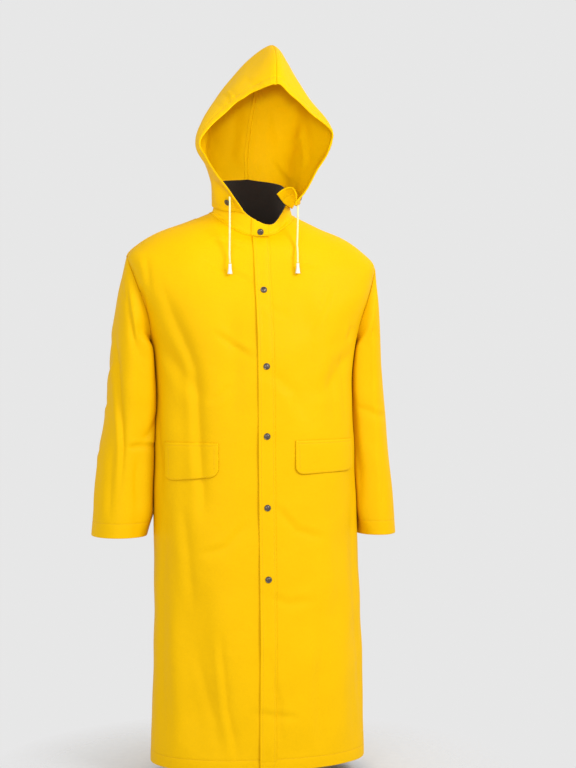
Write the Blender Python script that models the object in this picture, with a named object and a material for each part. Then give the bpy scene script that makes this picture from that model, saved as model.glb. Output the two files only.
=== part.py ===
"""Hooded raincoat of coated cloth, filled out as if worn, with nobody in it.

Metres, +Z up. The wearer faces -Y and the wearer's left is +X. The origin is the middle of the neck,
level with the back of the collar seam. Every cloth piece is a wall laid on a surface that rings or
sections give; a piece that lies on a panel is made from that panel's own points, moved out.
"""

import math
from collections import namedtuple

import bmesh
import bpy
from mathutils import Matrix, Vector

NAME = "hooded_raincoat"

WALL = 0.0018  # coated cloth with its backing
FACING_WALL = 0.0014
GAP = 0.0003  # between pieces at a seam
OVERLAY_GAP = 0.0009  # between a panel and what lies on it across its points
STRIP_LIFT = GAP * 1.5 + WALL  # of the fly and the collar tab
SNAP_CLEARANCE = 0.0006  # over the bend of the cloth under the cap
SNAP_RADIUS, SNAP_TOP_RADIUS = 0.0072, 0.0059
SNAP_HEIGHT = 0.0026
SNAP_SIDES = 14

FRONT_COLUMNS = 11
BACK_COLUMNS = 20
HEM_ROWS = 13
ARMHOLE_ROWS = 9
SHOULDER_ROWS = 6

YELLOW = (0.95, 0.60, 0.004)
DARK = (0.018, 0.013, 0.011)
GUNMETAL = (0.12, 0.10, 0.08)
CREAM = (0.90, 0.86, 0.55)
WHITE = (0.86, 0.86, 0.78)

# ---------------------------------------------------------------------------------------------
# Body: rings from hem to neck. height is the ring's height at the side seams.
# ---------------------------------------------------------------------------------------------

Ring = namedtuple("Ring", "height front_height back_height half_width front back corner centre twist")
BODY_RINGS = [
    Ring(-1.222, -1.222, -1.222, 0.241, 0.164, 0.139, 2.3, 0.009, -0.050),
    Ring(-1.100, -1.100, -1.100, 0.238, 0.166, 0.126, 2.3, 0.009, -0.050),
    Ring(-0.960, -0.960, -0.960, 0.235, 0.166, 0.126, 2.3, 0.009, -0.045),
    Ring(-0.790, -0.790, -0.790, 0.231, 0.159, 0.128, 2.3, 0.006, -0.030),
    Ring(-0.640, -0.640, -0.640, 0.228, 0.153, 0.130, 2.3, 0.002, -0.010),
    Ring(-0.520, -0.520, -0.520, 0.225, 0.151, 0.124, 2.3, 0.000, 0.000),
    Ring(-0.430, -0.430, -0.430, 0.221, 0.149, 0.121, 2.3, 0.000, 0.000),
    Ring(-0.370, -0.372, -0.370, 0.221, 0.146, 0.131, 2.3, 0.000, 0.000),
    Ring(-0.300, -0.306, -0.300, 0.229, 0.140, 0.142, 2.4, 0.000, 0.000),
    Ring(-0.240, -0.252, -0.244, 0.243, 0.128, 0.144, 2.7, 0.000, 0.000),
    Ring(-0.190, -0.206, -0.196, 0.259, 0.117, 0.142, 2.9, 0.000, 0.000),
    Ring(-0.145, -0.168, -0.154, 0.273, 0.104, 0.138, 2.8, 0.000, 0.000),
    Ring(-0.108, -0.136, -0.118, 0.279, 0.093, 0.132, 2.6, 0.000, 0.000),
    Ring(-0.080, -0.115, -0.090, 0.252, 0.087, 0.126, 2.4, 0.000, 0.000),
    Ring(-0.056, -0.097, -0.064, 0.212, 0.082, 0.119, 2.3, 0.000, 0.000),
    Ring(-0.034, -0.081, -0.040, 0.160, 0.076, 0.110, 2.2, 0.000, 0.000),
    Ring(-0.016, -0.069, -0.018, 0.117, 0.068, 0.099, 2.1, 0.000, 0.000),
    Ring(-0.004, -0.057, 0.000, 0.088, 0.054, 0.087, 2.0, 0.000, 0.000),
]
HEM, ARMPIT, SHOULDER_TIP, NECK = -1.222, -0.295, -0.110, -0.004
SIDE_SET_BACK = 0.004  # the side seam lies this far behind the ring's middle
ARMHOLE_REACH_FRONT = math.radians(20)
ARMHOLE_REACH_BACK = math.radians(28)
SHOULDER_TILT = 0.030  # the wearer's left shoulder is the lower one
TILT_FADES = (-0.45, -0.10)
EDGE_INSET = 0.0025  # normals at the hem and the neck are taken this far inside

# The largest folds, as seen from one side: (across, height) at both ends, in that view's plane.
Fold = namedtuple("Fold", "view start_across start_height end_across end_height width depth")
FOLD_SHOWS, FOLD_IS_FULL = 0.05, 0.6  # how far a surface faces the fold's view
BODY_FOLDS = [
    Fold("front", -0.185, -0.170, -0.122, -0.400, 0.026, 0.007),
    Fold("front", -0.125, -0.360, -0.118, -0.560, 0.024, 0.005),
    Fold("front", -0.118, -0.150, -0.060, -0.075, 0.014, 0.004),
    Fold("front", 0.165, -0.330, 0.190, -0.430, 0.022, 0.005),
    Fold("front", -0.150, -0.930, -0.120, -1.230, 0.034, 0.010),
    Fold("front", 0.130, -0.980, 0.145, -1.230, 0.026, 0.006),
    Fold("front", -0.060, -1.000, -0.050, -1.230, 0.030, -0.004),
    Fold("back", -0.110, -0.330, -0.150, -0.620, 0.028, 0.007),
    Fold("back", 0.120, -0.340, 0.140, -0.560, 0.026, 0.006),
    Fold("back", -0.040, -0.420, -0.060, -0.760, 0.030, 0.005),
    Fold("back", 0.100, -0.900, 0.120, -1.230, 0.034, 0.010),
    Fold("back", -0.120, -0.860, -0.110, -1.230, 0.034, 0.009),
    Fold("right", 0.060, -0.420, 0.040, -0.800, 0.024, 0.007),
    Fold("left", 0.050, -0.420, 0.060, -0.780, 0.024, 0.007),
]

# ---------------------------------------------------------------------------------------------
# Sleeves: sections from the armhole to the cuff. Sizes across are distances from the middle.
# ---------------------------------------------------------------------------------------------

Section = namedtuple("Section", "outer outer_height inner inner_height front back")
SLEEVE_RIGHT_SECTIONS = [
    Section(0.296, -0.168, 0.247, -0.306, 0.050, 0.100),
    Section(0.309, -0.240, 0.238, -0.334, 0.052, 0.114),
    Section(0.317, -0.320, 0.229, -0.368, 0.052, 0.124),
    Section(0.323, -0.395, 0.222, -0.412, 0.050, 0.128),
    Section(0.330, -0.460, 0.220, -0.464, 0.047, 0.126),
    Section(0.346, -0.545, 0.227, -0.545, 0.052, 0.118),
    Section(0.356, -0.635, 0.232, -0.635, 0.054, 0.110),
    Section(0.362, -0.722, 0.239, -0.722, 0.056, 0.100),
]
SLEEVE_LEFT_SECTIONS = [
    Section(0.287, -0.185, 0.247, -0.312, 0.048, 0.100),
    Section(0.293, -0.250, 0.237, -0.338, 0.046, 0.114),
    Section(0.298, -0.330, 0.228, -0.370, 0.044, 0.124),
    Section(0.303, -0.400, 0.222, -0.414, 0.042, 0.130),
    Section(0.309, -0.465, 0.224, -0.466, 0.042, 0.130),
    Section(0.316, -0.550, 0.229, -0.550, 0.046, 0.124),
    Section(0.325, -0.640, 0.232, -0.640, 0.050, 0.116),
    Section(0.331, -0.726, 0.236, -0.726, 0.052, 0.106),
]
SLEEVE_ROWS = 18
SLEEVE_FOLDS_START = (0.02, 0.2)  # of the sleeve's length
SLEEVE_HEAD_LIFT = 0.0012  # the sleeve head stands this far proud of the panels
SLEEVE_FOLDS = [
    Fold("front", -0.272, -0.190, -0.292, -0.420, 0.014, 0.006),
    Fold("front", -0.292, -0.420, -0.286, -0.620, 0.016, 0.006),
    Fold("front", -0.232, -0.500, -0.270, -0.560, 0.014, -0.004),
    Fold("right", 0.110, -0.380, -0.010, -0.345, 0.016, 0.006),
    Fold("right", 0.060, -0.420, 0.080, -0.700, 0.020, 0.006),
    Fold("left", 0.115, -0.385, 0.000, -0.350, 0.016, 0.006),
    Fold("left", 0.050, -0.430, 0.070, -0.700, 0.020, 0.006),
    Fold("front", 0.268, -0.330, 0.262, -0.640, 0.014, 0.005),
    Fold("back", -0.290, -0.300, -0.300, -0.650, 0.018, 0.005),
    Fold("back", 0.275, -0.300, 0.285, -0.650, 0.018, 0.005),
]

# ---------------------------------------------------------------------------------------------
# Collar and hood
# ---------------------------------------------------------------------------------------------

CollarTop = namedtuple("CollarTop", "angle height")  # angle from centre front towards the wearer's left
COLLAR_TOP = [
    CollarTop(-180, 0.076),
    CollarTop(-120, 0.068),
    CollarTop(-90, 0.055),
    CollarTop(-60, 0.042),
    CollarTop(-35, 0.022),
    CollarTop(-15, -0.003),
    CollarTop(0, -0.014),
    CollarTop(14, -0.023),
    CollarTop(28, -0.021),
    CollarTop(45, -0.004),
    CollarTop(65, 0.018),
    CollarTop(90, 0.042),
    CollarTop(120, 0.062),
    CollarTop(180, 0.076),
]
COLLAR_HALF_WIDTH, COLLAR_FRONT, COLLAR_BACK = 0.082, 0.057, 0.0845
COLLAR_COLUMNS = 30
COLLAR_ROWS = 3
COLLAR_SPLIT = 0.0012  # half the gap at centre front
FACING_START = 0.12  # of the collar's height
FACING_RISE = 1.012

# Half of the hood, in rows from its hem to the ridge over the crown, each row from the face edge round
# to the centre seam. A point is (across from the middle, ahead towards the face, height).
HoodRow = namedtuple("HoodRow", "edge fore side rear seam")
HOOD_ROWS = [
    HoodRow((0.058, 0.079, -0.008), (0.080, 0.026, 0.000), (0.0910, -0.017, 0.013),
            (0.067, -0.069, 0.034), (0.000, -0.0880, 0.045)),
    HoodRow((0.083, 0.094, 0.026), (0.099, 0.050, 0.046), (0.094, -0.005, 0.070),
            (0.071, -0.062, 0.090), (0.000, -0.0865, 0.100)),
    HoodRow((0.106, 0.113, 0.072), (0.124, 0.068, 0.102), (0.108, 0.005, 0.132),
            (0.078, -0.050, 0.150), (0.000, -0.0800, 0.160)),
    HoodRow((0.128, 0.133, 0.113), (0.145, 0.090, 0.145), (0.116, 0.015, 0.184),
            (0.084, -0.038, 0.208), (0.000, -0.0710, 0.218)),
    HoodRow((0.143, 0.150, 0.152), (0.137, 0.100, 0.188), (0.107, 0.028, 0.232),
            (0.080, -0.025, 0.257), (0.000, -0.0600, 0.266)),
    HoodRow((0.087, 0.165, 0.196), (0.090, 0.104, 0.238), (0.077, 0.040, 0.277),
            (0.062, -0.015, 0.303), (0.000, -0.0500, 0.314)),
    HoodRow((0.040, 0.176, 0.234), (0.047, 0.110, 0.282), (0.044, 0.050, 0.318),
            (0.037, 0.000, 0.341), (0.000, -0.0270, 0.350)),
    HoodRow((0.000, 0.181, 0.262), (0.000, 0.132, 0.312), (0.000, 0.085, 0.344),
            (0.000, 0.036, 0.364), (0.000, 0.0020, 0.369)),
]
HOOD_COLUMNS = 12
HOOD_STEPS = 14
HOOD_TURN = 0.035  # the face looks a little towards the wearer's left
CROWN_LEAN, CROWN_LEAN_START, CROWN_LEAN_RISE, CROWN_LEAN_POWER = 0.038, 0.130, 0.240, 1.45
JAW_SHIFT, JAW_SHIFT_TOP, JAW_SHIFT_AHEAD = 0.022, 0.130, (0.02, 0.08)
HOOD_ROLL, HOOD_ROLL_AHEAD = 0.080, (0.03, 0.15)  # the face's corner on the wearer's right hangs lower
JAW_FULLNESS, JAW_RISE, JAW_REACH = 0.016, 0.41, 0.11  # the left half's edge bows out below its corner
JAW_ENDS = (0.15, 0.5)  # of the way round
CORNER_TURN_IN, CORNER_ROUND, CORNER_RISE = 0.026, 0.10, 0.20  # the left lower front corner curls inwards
HOOD_SNAP_PLACES = {"rear": (0.74, 0.040), "front": (0.15, 0.070)}
HOOD_SNAP_LIFT = 0.0

# ---------------------------------------------------------------------------------------------
# What lies on the fronts and the back
# ---------------------------------------------------------------------------------------------

FLY_EDGES = {-1: 0.0125, 1: 0.0245}  # from centre front, on the wearer's right and left
FLY_TOP = 0.25  # rows under the neck seam
TAB_EDGES = {-1: 0.018, 1: 0.0245}
SNAP_COLUMN = 1.25  # the middle of the fly, in its columns
FRONT_SNAP_HEIGHTS = (-0.179, -0.344, -0.495, -0.650, -0.805)
TAB_RISE = (0.02, 0.97)  # of the collar's height
TOP_SNAP_ROW = 0.53
CAPE_LOWER_EDGE = -0.196
FlapPlace = namedtuple("FlapPlace", "inner outer top bottom_inner bottom_outer")
POCKET_FLAPS = {
    "right": FlapPlace(0.098, 0.209, -0.509, -0.582, -0.594),
    "left": FlapPlace(0.069, 0.209, -0.505, -0.579, -0.575),
}
FLAP_CORNER = 0.018
FLAP_CORNER_SHARES = (0, 0.15, 0.5, 1)
FLAP_ROWS = 4
CAPE_SIDE_INSET, CAPE_TOP_INSET = 0.12, 0.15  # in the back's columns and rows

CORD_RADIUS = 0.0020
CORD_TIP_LENGTH = 0.022
CORD_TIP_RADII = (0.0034, 0.0056)
CORD_STEPS = 16
CORD_BOW, CORD_BOW_END = 0.003, 0.15
CHEST_TOP = -0.055
TIP_CLEARANCE = 1.6  # of the tip's radius, at its lower end
CORD_TIP_SIDES = 10
CordRun = namedtuple("CordRun", "side row column off_casing end_height sway")
CORDS = [
    CordRun(-1, 0.150, 0.03, -0.00015, -0.120, -0.001),
    CordRun(1, 0.060, 0.05, -0.0009, -0.118, -0.004),
]


# ---------------------------------------------------------------------------------------------
# Curves through table values
# ---------------------------------------------------------------------------------------------


def smooth_step(value, low, high):
    share = min(1.0, max(0.0, (value - low) / (high - low)))
    return share * share * (3.0 - 2.0 * share)


def hermite(start, end, start_slope, end_slope, share):
    """The cubic from start to end; the slopes are per whole span."""
    square, cube = share * share, share * share * share
    return (
        start * (2 * cube - 3 * square + 1)
        + start_slope * (cube - 2 * square + share)
        + end * (3 * square - 2 * cube)
        + end_slope * (cube - square)
    )


def curve_through(keys, values, at):
    """A smooth curve through values at rising keys."""
    last = len(keys) - 1
    at = min(keys[last], max(keys[0], at))
    span = next(i for i in range(last) if at <= keys[i + 1])

    def slope(i):
        low, high = max(i - 1, 0), min(i + 1, last)
        return (values[high] - values[low]) * (1.0 / (keys[high] - keys[low]))

    width = keys[span + 1] - keys[span]
    return hermite(
        values[span], values[span + 1], slope(span) * width, slope(span + 1) * width, (at - keys[span]) / width
    )


def points_through(points, before, after, share):
    """A smooth curve through evenly keyed points; before and after shape its two ends."""
    chain = [before, *points, after]
    spans = len(points) - 1
    place = min(spans - 1e-9, max(0.0, share * spans))
    span = int(place)
    first, start, end, last = chain[span : span + 4]
    return hermite(start, end, (end - first) / 2, (last - start) / 2, place - span)


# ---------------------------------------------------------------------------------------------
# Folds
# ---------------------------------------------------------------------------------------------

VIEWS = {  # which axis runs across in the view, and the way its faces look
    "front": (0, Vector((0, -1, 0))),
    "back": (0, Vector((0, 1, 0))),
    "right": (1, Vector((-1, 0, 0))),
    "left": (1, Vector((1, 0, 0))),
}


def fold_depth(folds, point, normal):
    """How far the folds push this point in."""
    total = 0.0
    for fold in folds:
        axis, facing = VIEWS[fold.view]
        seen = normal.dot(facing)
        if seen <= FOLD_SHOWS:
            continue
        start = Vector((fold.start_across, fold.start_height))
        run = Vector((fold.end_across, fold.end_height)) - start
        place = Vector((point[axis], point.z)) - start
        along = place.dot(run) / run.length_squared
        nearest = start + run * min(1.0, max(0.0, along))
        distance = (Vector((point[axis], point.z)) - nearest).length / fold.width
        total += fold.depth * math.exp(-distance * distance) * smooth_step(seen, FOLD_SHOWS, FOLD_IS_FULL)
    return total


# ---------------------------------------------------------------------------------------------
# Body surface
# ---------------------------------------------------------------------------------------------

RING_KEYS = [ring.height for ring in BODY_RINGS]


def ring_at(height):
    return Ring(*(curve_through(RING_KEYS, column, height) for column in zip(*BODY_RINGS)))


def ring_point(ring, angle):
    """A point of a ring; angle 0 is centre front and a quarter turn is the wearer's left side."""
    sine, cosine = math.sin(angle), math.cos(angle)
    reach = (abs(sine) ** ring.corner + abs(cosine) ** ring.corner) ** (-1.0 / ring.corner)
    side_back = (ring.back - ring.front) / 2 + SIDE_SET_BACK
    depth = ring.front + side_back if cosine > 0 else ring.back - side_back
    end_height = ring.front_height if cosine > 0 else ring.back_height
    across = ring.half_width * reach * sine
    back = side_back - depth * reach * cosine
    height = ring.height + (end_height - ring.height) * cosine * cosine
    height -= SHOULDER_TILT * across * smooth_step(ring.height, *TILT_FADES)
    return Vector((across + ring.centre - ring.twist * back, back, height))


SHARE_STEP = 0.01


def normal_of(place, along, up, step=0.002):
    """The outward normal of place(along, up), whose first way runs to the wearer's left in front."""
    across = place(along + step, up) - place(along - step, up)
    rise = place(along, up + step) - place(along, up - step)
    return across.cross(rise).normalized()


def inside(share):
    """A share of a surface's length, kept far enough from its ends to take a normal there."""
    return min(1 - 1.5 * SHARE_STEP, max(1.5 * SHARE_STEP, share))


def bare_body(angle, height):
    return ring_point(ring_at(height), angle)


def body(angle, height):
    """(point, outward normal) of the body's outer surface."""
    inside_height = min(NECK - EDGE_INSET, max(HEM + EDGE_INSET, height))
    normal = normal_of(bare_body, angle, inside_height)
    point = bare_body(angle, height)
    return point - normal * fold_depth(BODY_FOLDS, point, normal), normal


def armhole(turn):
    """(angle, height) on the armhole's edge, as seen on the wearer's left; turn 0 is the shoulder tip, a
    quarter turn the front and a half turn the armpit."""
    middle, half = (SHOULDER_TIP + ARMPIT) / 2, (SHOULDER_TIP - ARMPIT) / 2
    reach = ARMHOLE_REACH_FRONT if math.sin(turn) > 0 else ARMHOLE_REACH_BACK
    return math.pi / 2 - reach * math.sin(turn), middle + half * math.cos(turn)


def panel_heights():
    """Row heights, from hem to neck, and each row's turn on the armhole or None."""
    rows = [(HEM + (ARMPIT - HEM) * i / HEM_ROWS, None) for i in range(HEM_ROWS)]
    for i in range(ARMHOLE_ROWS + 1):
        turn = math.pi * (1 - i / ARMHOLE_ROWS)
        rows.append((armhole(turn)[1], turn))
    for i in range(1, SHOULDER_ROWS + 1):
        rows.append((SHOULDER_TIP + (NECK - SHOULDER_TIP) * i / SHOULDER_ROWS, None))
    return rows


def side_angle(height, turn, is_front):
    """Where a panel's row ends at the wearer's left: side seam, armhole or shoulder seam."""
    ring = ring_at(height)
    seam = GAP / 2 / ((ring.front + ring.back) / 2)
    reach = 0.0
    if turn is not None:
        reach = math.sin(turn) * (ARMHOLE_REACH_FRONT if is_front else ARMHOLE_REACH_BACK)
    return math.pi / 2 - reach - seam if is_front else math.pi / 2 + reach + seam


def front_lattice(side):
    """Rows of (point, normal) of a front panel, from centre front to the side; side 1 is the wearer's left."""
    lattice = []
    for height, turn in panel_heights():
        half_width = ring_at(height).half_width
        start, under_fly = GAP / 2 / half_width, math.asin(FLY_EDGES[side] / half_width)
        end = side_angle(height, turn, True)
        angles = [start]
        for i in range(FRONT_COLUMNS):
            angles.append(under_fly + (end - under_fly) * i / (FRONT_COLUMNS - 1))
        lattice.append([body(side * angle, height) for angle in angles])
    return lattice


def back_lattice():
    lattice = []
    for height, turn in panel_heights():
        start = side_angle(height, turn, False)
        run = 2 * (math.pi - start)
        lattice.append([body(start + run * i / BACK_COLUMNS, height) for i in range(BACK_COLUMNS + 1)])
    return lattice


def on_lattice(lattice, column, row):
    """(point, normal) between a lattice's points."""
    low_row = min(int(row), len(lattice) - 2)
    low_column = min(int(column), len(lattice[0]) - 2)
    row_share, column_share = row - low_row, column - low_column

    def mix(which):
        lower = lattice[low_row][low_column][which].lerp(lattice[low_row][low_column + 1][which], column_share)
        upper = lattice[low_row + 1][low_column][which].lerp(
            lattice[low_row + 1][low_column + 1][which], column_share
        )
        return lower.lerp(upper, row_share)

    return mix(0), mix(1).normalized()


# ---------------------------------------------------------------------------------------------
# Cloth walls
# ---------------------------------------------------------------------------------------------


def material_named(name, colour, roughness, metallic=0.0):
    material = bpy.data.materials.get(name) or bpy.data.materials.new(name)
    material.use_nodes = True
    shader = material.node_tree.nodes["Principled BSDF"]
    shader.inputs["Base Color"].default_value = (*colour, 1)
    shader.inputs["Roughness"].default_value = roughness
    shader.inputs["Metallic"].default_value = metallic
    return material


def add_object(name, data, material):
    obj = bpy.data.objects.new(name, data)
    data.materials.append(material)
    bpy.data.collections[NAME].objects.link(obj)
    return obj


def cloth(name, lattice, material, lift=0.0, wall=WALL, is_tube=False):
    """A closed wall on a lattice of (point, normal), lifted off it and thickened inwards."""
    rows, columns = len(lattice) - 1, len(lattice[0]) - 1
    mesh = bmesh.new()
    bmesh.ops.create_grid(mesh, x_segments=columns, y_segments=rows, size=0.5)
    inner = bmesh.ops.extrude_face_region(mesh, geom=mesh.faces[:])["geom"]
    bmesh.ops.translate(mesh, verts=[v for v in inner if isinstance(v, bmesh.types.BMVert)], vec=(0, 0, -1))
    if is_tube:
        ends = [f for f in mesh.faces if abs(f.normal.x) > 0.5]
        bmesh.ops.delete(mesh, geom=ends, context="FACES_ONLY")
    for vert in mesh.verts:
        column, row = round((vert.co.x + 0.5) * columns), round((vert.co.y + 0.5) * rows)
        point, normal = lattice[row][column]
        vert.co = point + normal * (lift if vert.co.z > -0.5 else lift - wall)
    bmesh.ops.remove_doubles(mesh, verts=mesh.verts[:], dist=1e-6)
    bmesh.ops.recalc_face_normals(mesh, faces=mesh.faces[:])
    if mesh.calc_volume(signed=True) < 0:
        bmesh.ops.reverse_faces(mesh, faces=mesh.faces[:])
    data = bpy.data.meshes.new(name)
    mesh.to_mesh(data)
    mesh.free()
    data.shade_smooth()
    return add_object(name, data, material)


# ---------------------------------------------------------------------------------------------
# Sleeves
# ---------------------------------------------------------------------------------------------


def sleeve_lattice(side, sections):
    """Rings of (point, normal) from the armhole to the cuff; side 1 is the wearer's left."""
    turns = [math.pi * i / ARMHOLE_ROWS for i in range(2 * ARMHOLE_ROWS + 1)]

    def first_ring(turn):
        angle, height = armhole(turn)
        return body(side * angle, height)[0]

    def section_ring(section, turn):
        outer = Vector((side * section.outer, 0, section.outer_height))
        inner = Vector((side * section.inner, 0, section.inner_height))
        middle_back, half_depth = (section.back - section.front) / 2, (section.back + section.front) / 2
        sine, cosine = math.sin(turn), math.cos(turn)
        point = (outer + inner) / 2 + (outer - inner) / 2 * cosine
        return point + Vector((0, middle_back - half_depth * sine, 0))

    heads = {}

    def ring_points(turn):
        if turn not in heads:
            heads[turn] = [first_ring(turn)] + [section_ring(section, turn) for section in sections]
        return heads[turn]

    def bare(turn, share):
        points = ring_points(turn)
        return points_through(points, points[0] * 2 - points[1], points[-1] * 2 - points[-2], share)

    lattice = []
    for row in range(SLEEVE_ROWS + 1):
        share = row / SLEEVE_ROWS
        ring = []
        for turn in turns:
            normal = normal_of(bare, turn, inside(share), SHARE_STEP) * -side
            point = bare(turn, share)
            if row == 0:
                angle, height = armhole(turn)
                point += (bare(turn, SHARE_STEP) - point).normalized() * GAP
                point += body(side * angle, height)[1] * SLEEVE_HEAD_LIFT
            point -= normal * fold_depth(SLEEVE_FOLDS, point, normal) * smooth_step(share, *SLEEVE_FOLDS_START)
            ring.append((point, normal))
        lattice.append(ring)
    return lattice


# ---------------------------------------------------------------------------------------------
# Collar
# ---------------------------------------------------------------------------------------------


def collar_ring(angle, rise):
    """A point of the collar's outer side; rise runs from the neck seam, 0, to the top edge, 1."""
    foot = ring_point(BODY_RINGS[-1], angle)
    sine, cosine = math.sin(angle), math.cos(angle)
    middle_back = (COLLAR_BACK - COLLAR_FRONT) / 2
    half_depth = (COLLAR_BACK + COLLAR_FRONT) / 2
    degrees = math.degrees(math.atan2(sine, cosine))
    height = curve_through([top.angle for top in COLLAR_TOP], [top.height for top in COLLAR_TOP], degrees)
    top = Vector((COLLAR_HALF_WIDTH * sine, middle_back - half_depth * cosine, height))
    return foot.lerp(top, rise)


def collar_lattice(low, high, rows=COLLAR_ROWS):
    """From centre front round the wearer's left and the back to centre front."""
    start = COLLAR_SPLIT / COLLAR_HALF_WIDTH
    left, right = (math.asin(TAB_EDGES[side] / COLLAR_HALF_WIDTH) for side in (1, -1))
    angles = [start]
    for i in range(COLLAR_COLUMNS - 1):
        angles.append(left + (2 * math.pi - left - right) * i / (COLLAR_COLUMNS - 2))
    angles.append(2 * math.pi - start)
    lattice = []
    for row in range(rows + 1):
        rise = low + (high - low) * row / rows
        ring = []
        for angle in angles:
            normal = normal_of(collar_ring, angle, 0.5, 0.02)
            ring.append((collar_ring(angle, rise) + Vector((0, 0, GAP if row == 0 else 0)), normal))
        lattice.append(ring)
    return lattice


# ---------------------------------------------------------------------------------------------
# Hood
# ---------------------------------------------------------------------------------------------


def hood_shift(point):
    """How the worn hood departs from an even one: turned, its crown leaning and its jaw pulled over."""
    ahead = max(0.0, -point.y)
    lean = CROWN_LEAN * max(0.0, (point.z - CROWN_LEAN_START) / CROWN_LEAN_RISE) ** CROWN_LEAN_POWER
    jaw = JAW_SHIFT * (1 - smooth_step(point.z, 0.0, JAW_SHIFT_TOP)) * smooth_step(ahead, *JAW_SHIFT_AHEAD)
    roll = HOOD_ROLL * point.x * smooth_step(ahead, *HOOD_ROLL_AHEAD)
    return point + Vector((HOOD_TURN * ahead + lean + jaw, 0, roll))


def mirrored(point):
    return Vector((-point.x, point.y, point.z))


def half_hood(side):
    """The surface of one half: place(share from face edge to centre seam, share from hem to ridge)."""
    rows = [[Vector((x, -ahead, z)) for x, ahead, z in row] for row in HOOD_ROWS]

    def column_point(index, rise):
        column = [row[index] for row in rows]
        return points_through(column, column[0] * 2 - column[1], mirrored(column[-2]), rise)

    def place(round_share, rise):
        row = [column_point(index, rise) for index in range(5)]
        point = points_through(row, row[0] * 2 - row[1], mirrored(row[-2]), round_share)
        if side > 0:
            curl = (1 - smooth_step(round_share, 0.0, CORNER_ROUND)) * (1 - smooth_step(rise, 0.0, CORNER_RISE))
            point += Vector((-CORNER_TURN_IN, 0, CORNER_TURN_IN / 2)) * curl
            jaw = math.exp(-(((rise - JAW_RISE) / JAW_REACH) ** 2)) * (1 - smooth_step(round_share, *JAW_ENDS))
            point.x += JAW_FULLNESS * jaw
        point.x = side * (max(0.0, point.x) + GAP / 2)
        return hood_shift(point)

    return place


def hood_lattice(side):
    place = half_hood(side)
    lattice = []
    for row in range(HOOD_STEPS + 1):
        rise = row / HOOD_STEPS
        ring = []
        for column in range(HOOD_COLUMNS + 1):
            share = column / HOOD_COLUMNS
            normal = normal_of(place, inside(share), inside(rise), SHARE_STEP) * side
            if column == HOOD_COLUMNS or row == HOOD_STEPS:
                normal = Vector((0, normal.y, normal.z)).normalized()
            ring.append((place(share, rise), normal))
        lattice.append(ring)
    return lattice


# ---------------------------------------------------------------------------------------------
# Snaps, cords and overlays
# ---------------------------------------------------------------------------------------------


def snap(name, place, lift, material):
    """A domed metal cap that stands on a surface's (point, normal)."""
    point, normal = place
    mesh = bmesh.new()
    bmesh.ops.create_cone(
        mesh,
        cap_ends=True,
        segments=SNAP_SIDES,
        radius1=SNAP_RADIUS,
        radius2=SNAP_TOP_RADIUS,
        depth=SNAP_HEIGHT,
        matrix=Matrix.Translation((0, 0, SNAP_HEIGHT / 2)),
    )
    data = bpy.data.meshes.new(name)
    mesh.to_mesh(data)
    mesh.free()
    obj = add_object(name, data, material)
    turn = normal.to_track_quat("Z", "Y").to_matrix().to_4x4()
    obj.matrix_world = Matrix.Translation(point + normal * (lift + SNAP_CLEARANCE)) @ turn
    return obj


def strip_lattice(left, right, rows):
    """The strip over both sides, from the wearer's right to the left, on their own points."""
    lattice = []
    for row in rows:
        (left_middle, normal), (right_middle, _) = on_lattice(left, 0, row), on_lattice(right, 0, row)
        middle = (left_middle + right_middle) / 2
        lattice.append([on_lattice(right, 1, row), (middle, normal), on_lattice(left, 1, row)])
    return lattice


def row_at(lattice, height, column):
    """The lattice's row, with a share, whose point in this column has this height."""
    for row in range(len(lattice) - 1):
        low, high = lattice[row][column][0].z, lattice[row + 1][column][0].z
        if low <= height <= high:
            return row + (height - low) / (high - low)
    raise ValueError("no row at this height")


def column_at(lattice, across, row):
    """The lattice's column, with a share, whose point in this row lies this far from the middle."""
    for column in range(len(lattice[0]) - 1):
        near, far = abs(lattice[row][column][0].x), abs(lattice[row][column + 1][0].x)
        if near <= across <= far:
            return column + (across - near) / (far - near)
    raise ValueError("no column this far out")


def on_front(front, across, height):
    """(point, normal) of a front panel this far from the middle and at this height, and its column and row."""
    column = 4.0
    for _ in range(4):
        row = row_at(front, height, round(column))
        column = column_at(front, across, round(row))
    for _ in range(3):
        point, _ = on_lattice(front, column, row)
        above, beside = on_lattice(front, column, row + 0.1)[0], on_lattice(front, column + 0.1, row)[0]
        row += 0.1 * (height - point.z) / (above.z - point.z)
        column += 0.1 * (across - abs(point.x)) / (abs(beside.x) - abs(point.x))
    return on_lattice(front, column, row), column, row


def flap_lattice(front, place):
    """A flap on a front panel, with its two lower corners rounded."""
    first, last = (on_front(front, across, place.top)[1] for across in (place.inner, place.outer))
    length = place.outer - place.inner
    columns = set()
    for share in FLAP_CORNER_SHARES:
        step_in = (last - first) * share * FLAP_CORNER / length
        columns |= {first + step_in, last - step_in}
    columns |= set(range(math.ceil(first + 0.5), math.floor(last - 0.5) + 1))
    lattice = []
    for step in range(FLAP_ROWS + 1):
        line = []
        for column in sorted(columns):
            share = (column - first) / (last - first)
            bottom = place.bottom_inner + (place.bottom_outer - place.bottom_inner) * share
            short = FLAP_CORNER - min(share, 1 - share) * length
            if short > 0:
                bottom += FLAP_CORNER - math.sqrt(max(0.0, FLAP_CORNER**2 - short**2))
            height = place.top + (bottom - place.top) * step / FLAP_ROWS
            line.append(on_lattice(front, column, row_at(front, height, round(column))))
        lattice.append(line)
    return lattice


def cape_lattice(back):
    """The yoke on the back panel, from its hanging edge up to just under the neck seam."""
    low = row_at(back, CAPE_LOWER_EDGE, BACK_COLUMNS // 2)
    rows = [low, *range(int(low) + 1, len(back) - 1), len(back) - 1 - CAPE_TOP_INSET]
    columns = [CAPE_SIDE_INSET, *range(1, BACK_COLUMNS), BACK_COLUMNS - CAPE_SIDE_INSET]
    return [[on_lattice(back, column, row) for column in columns] for row in rows]


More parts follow.
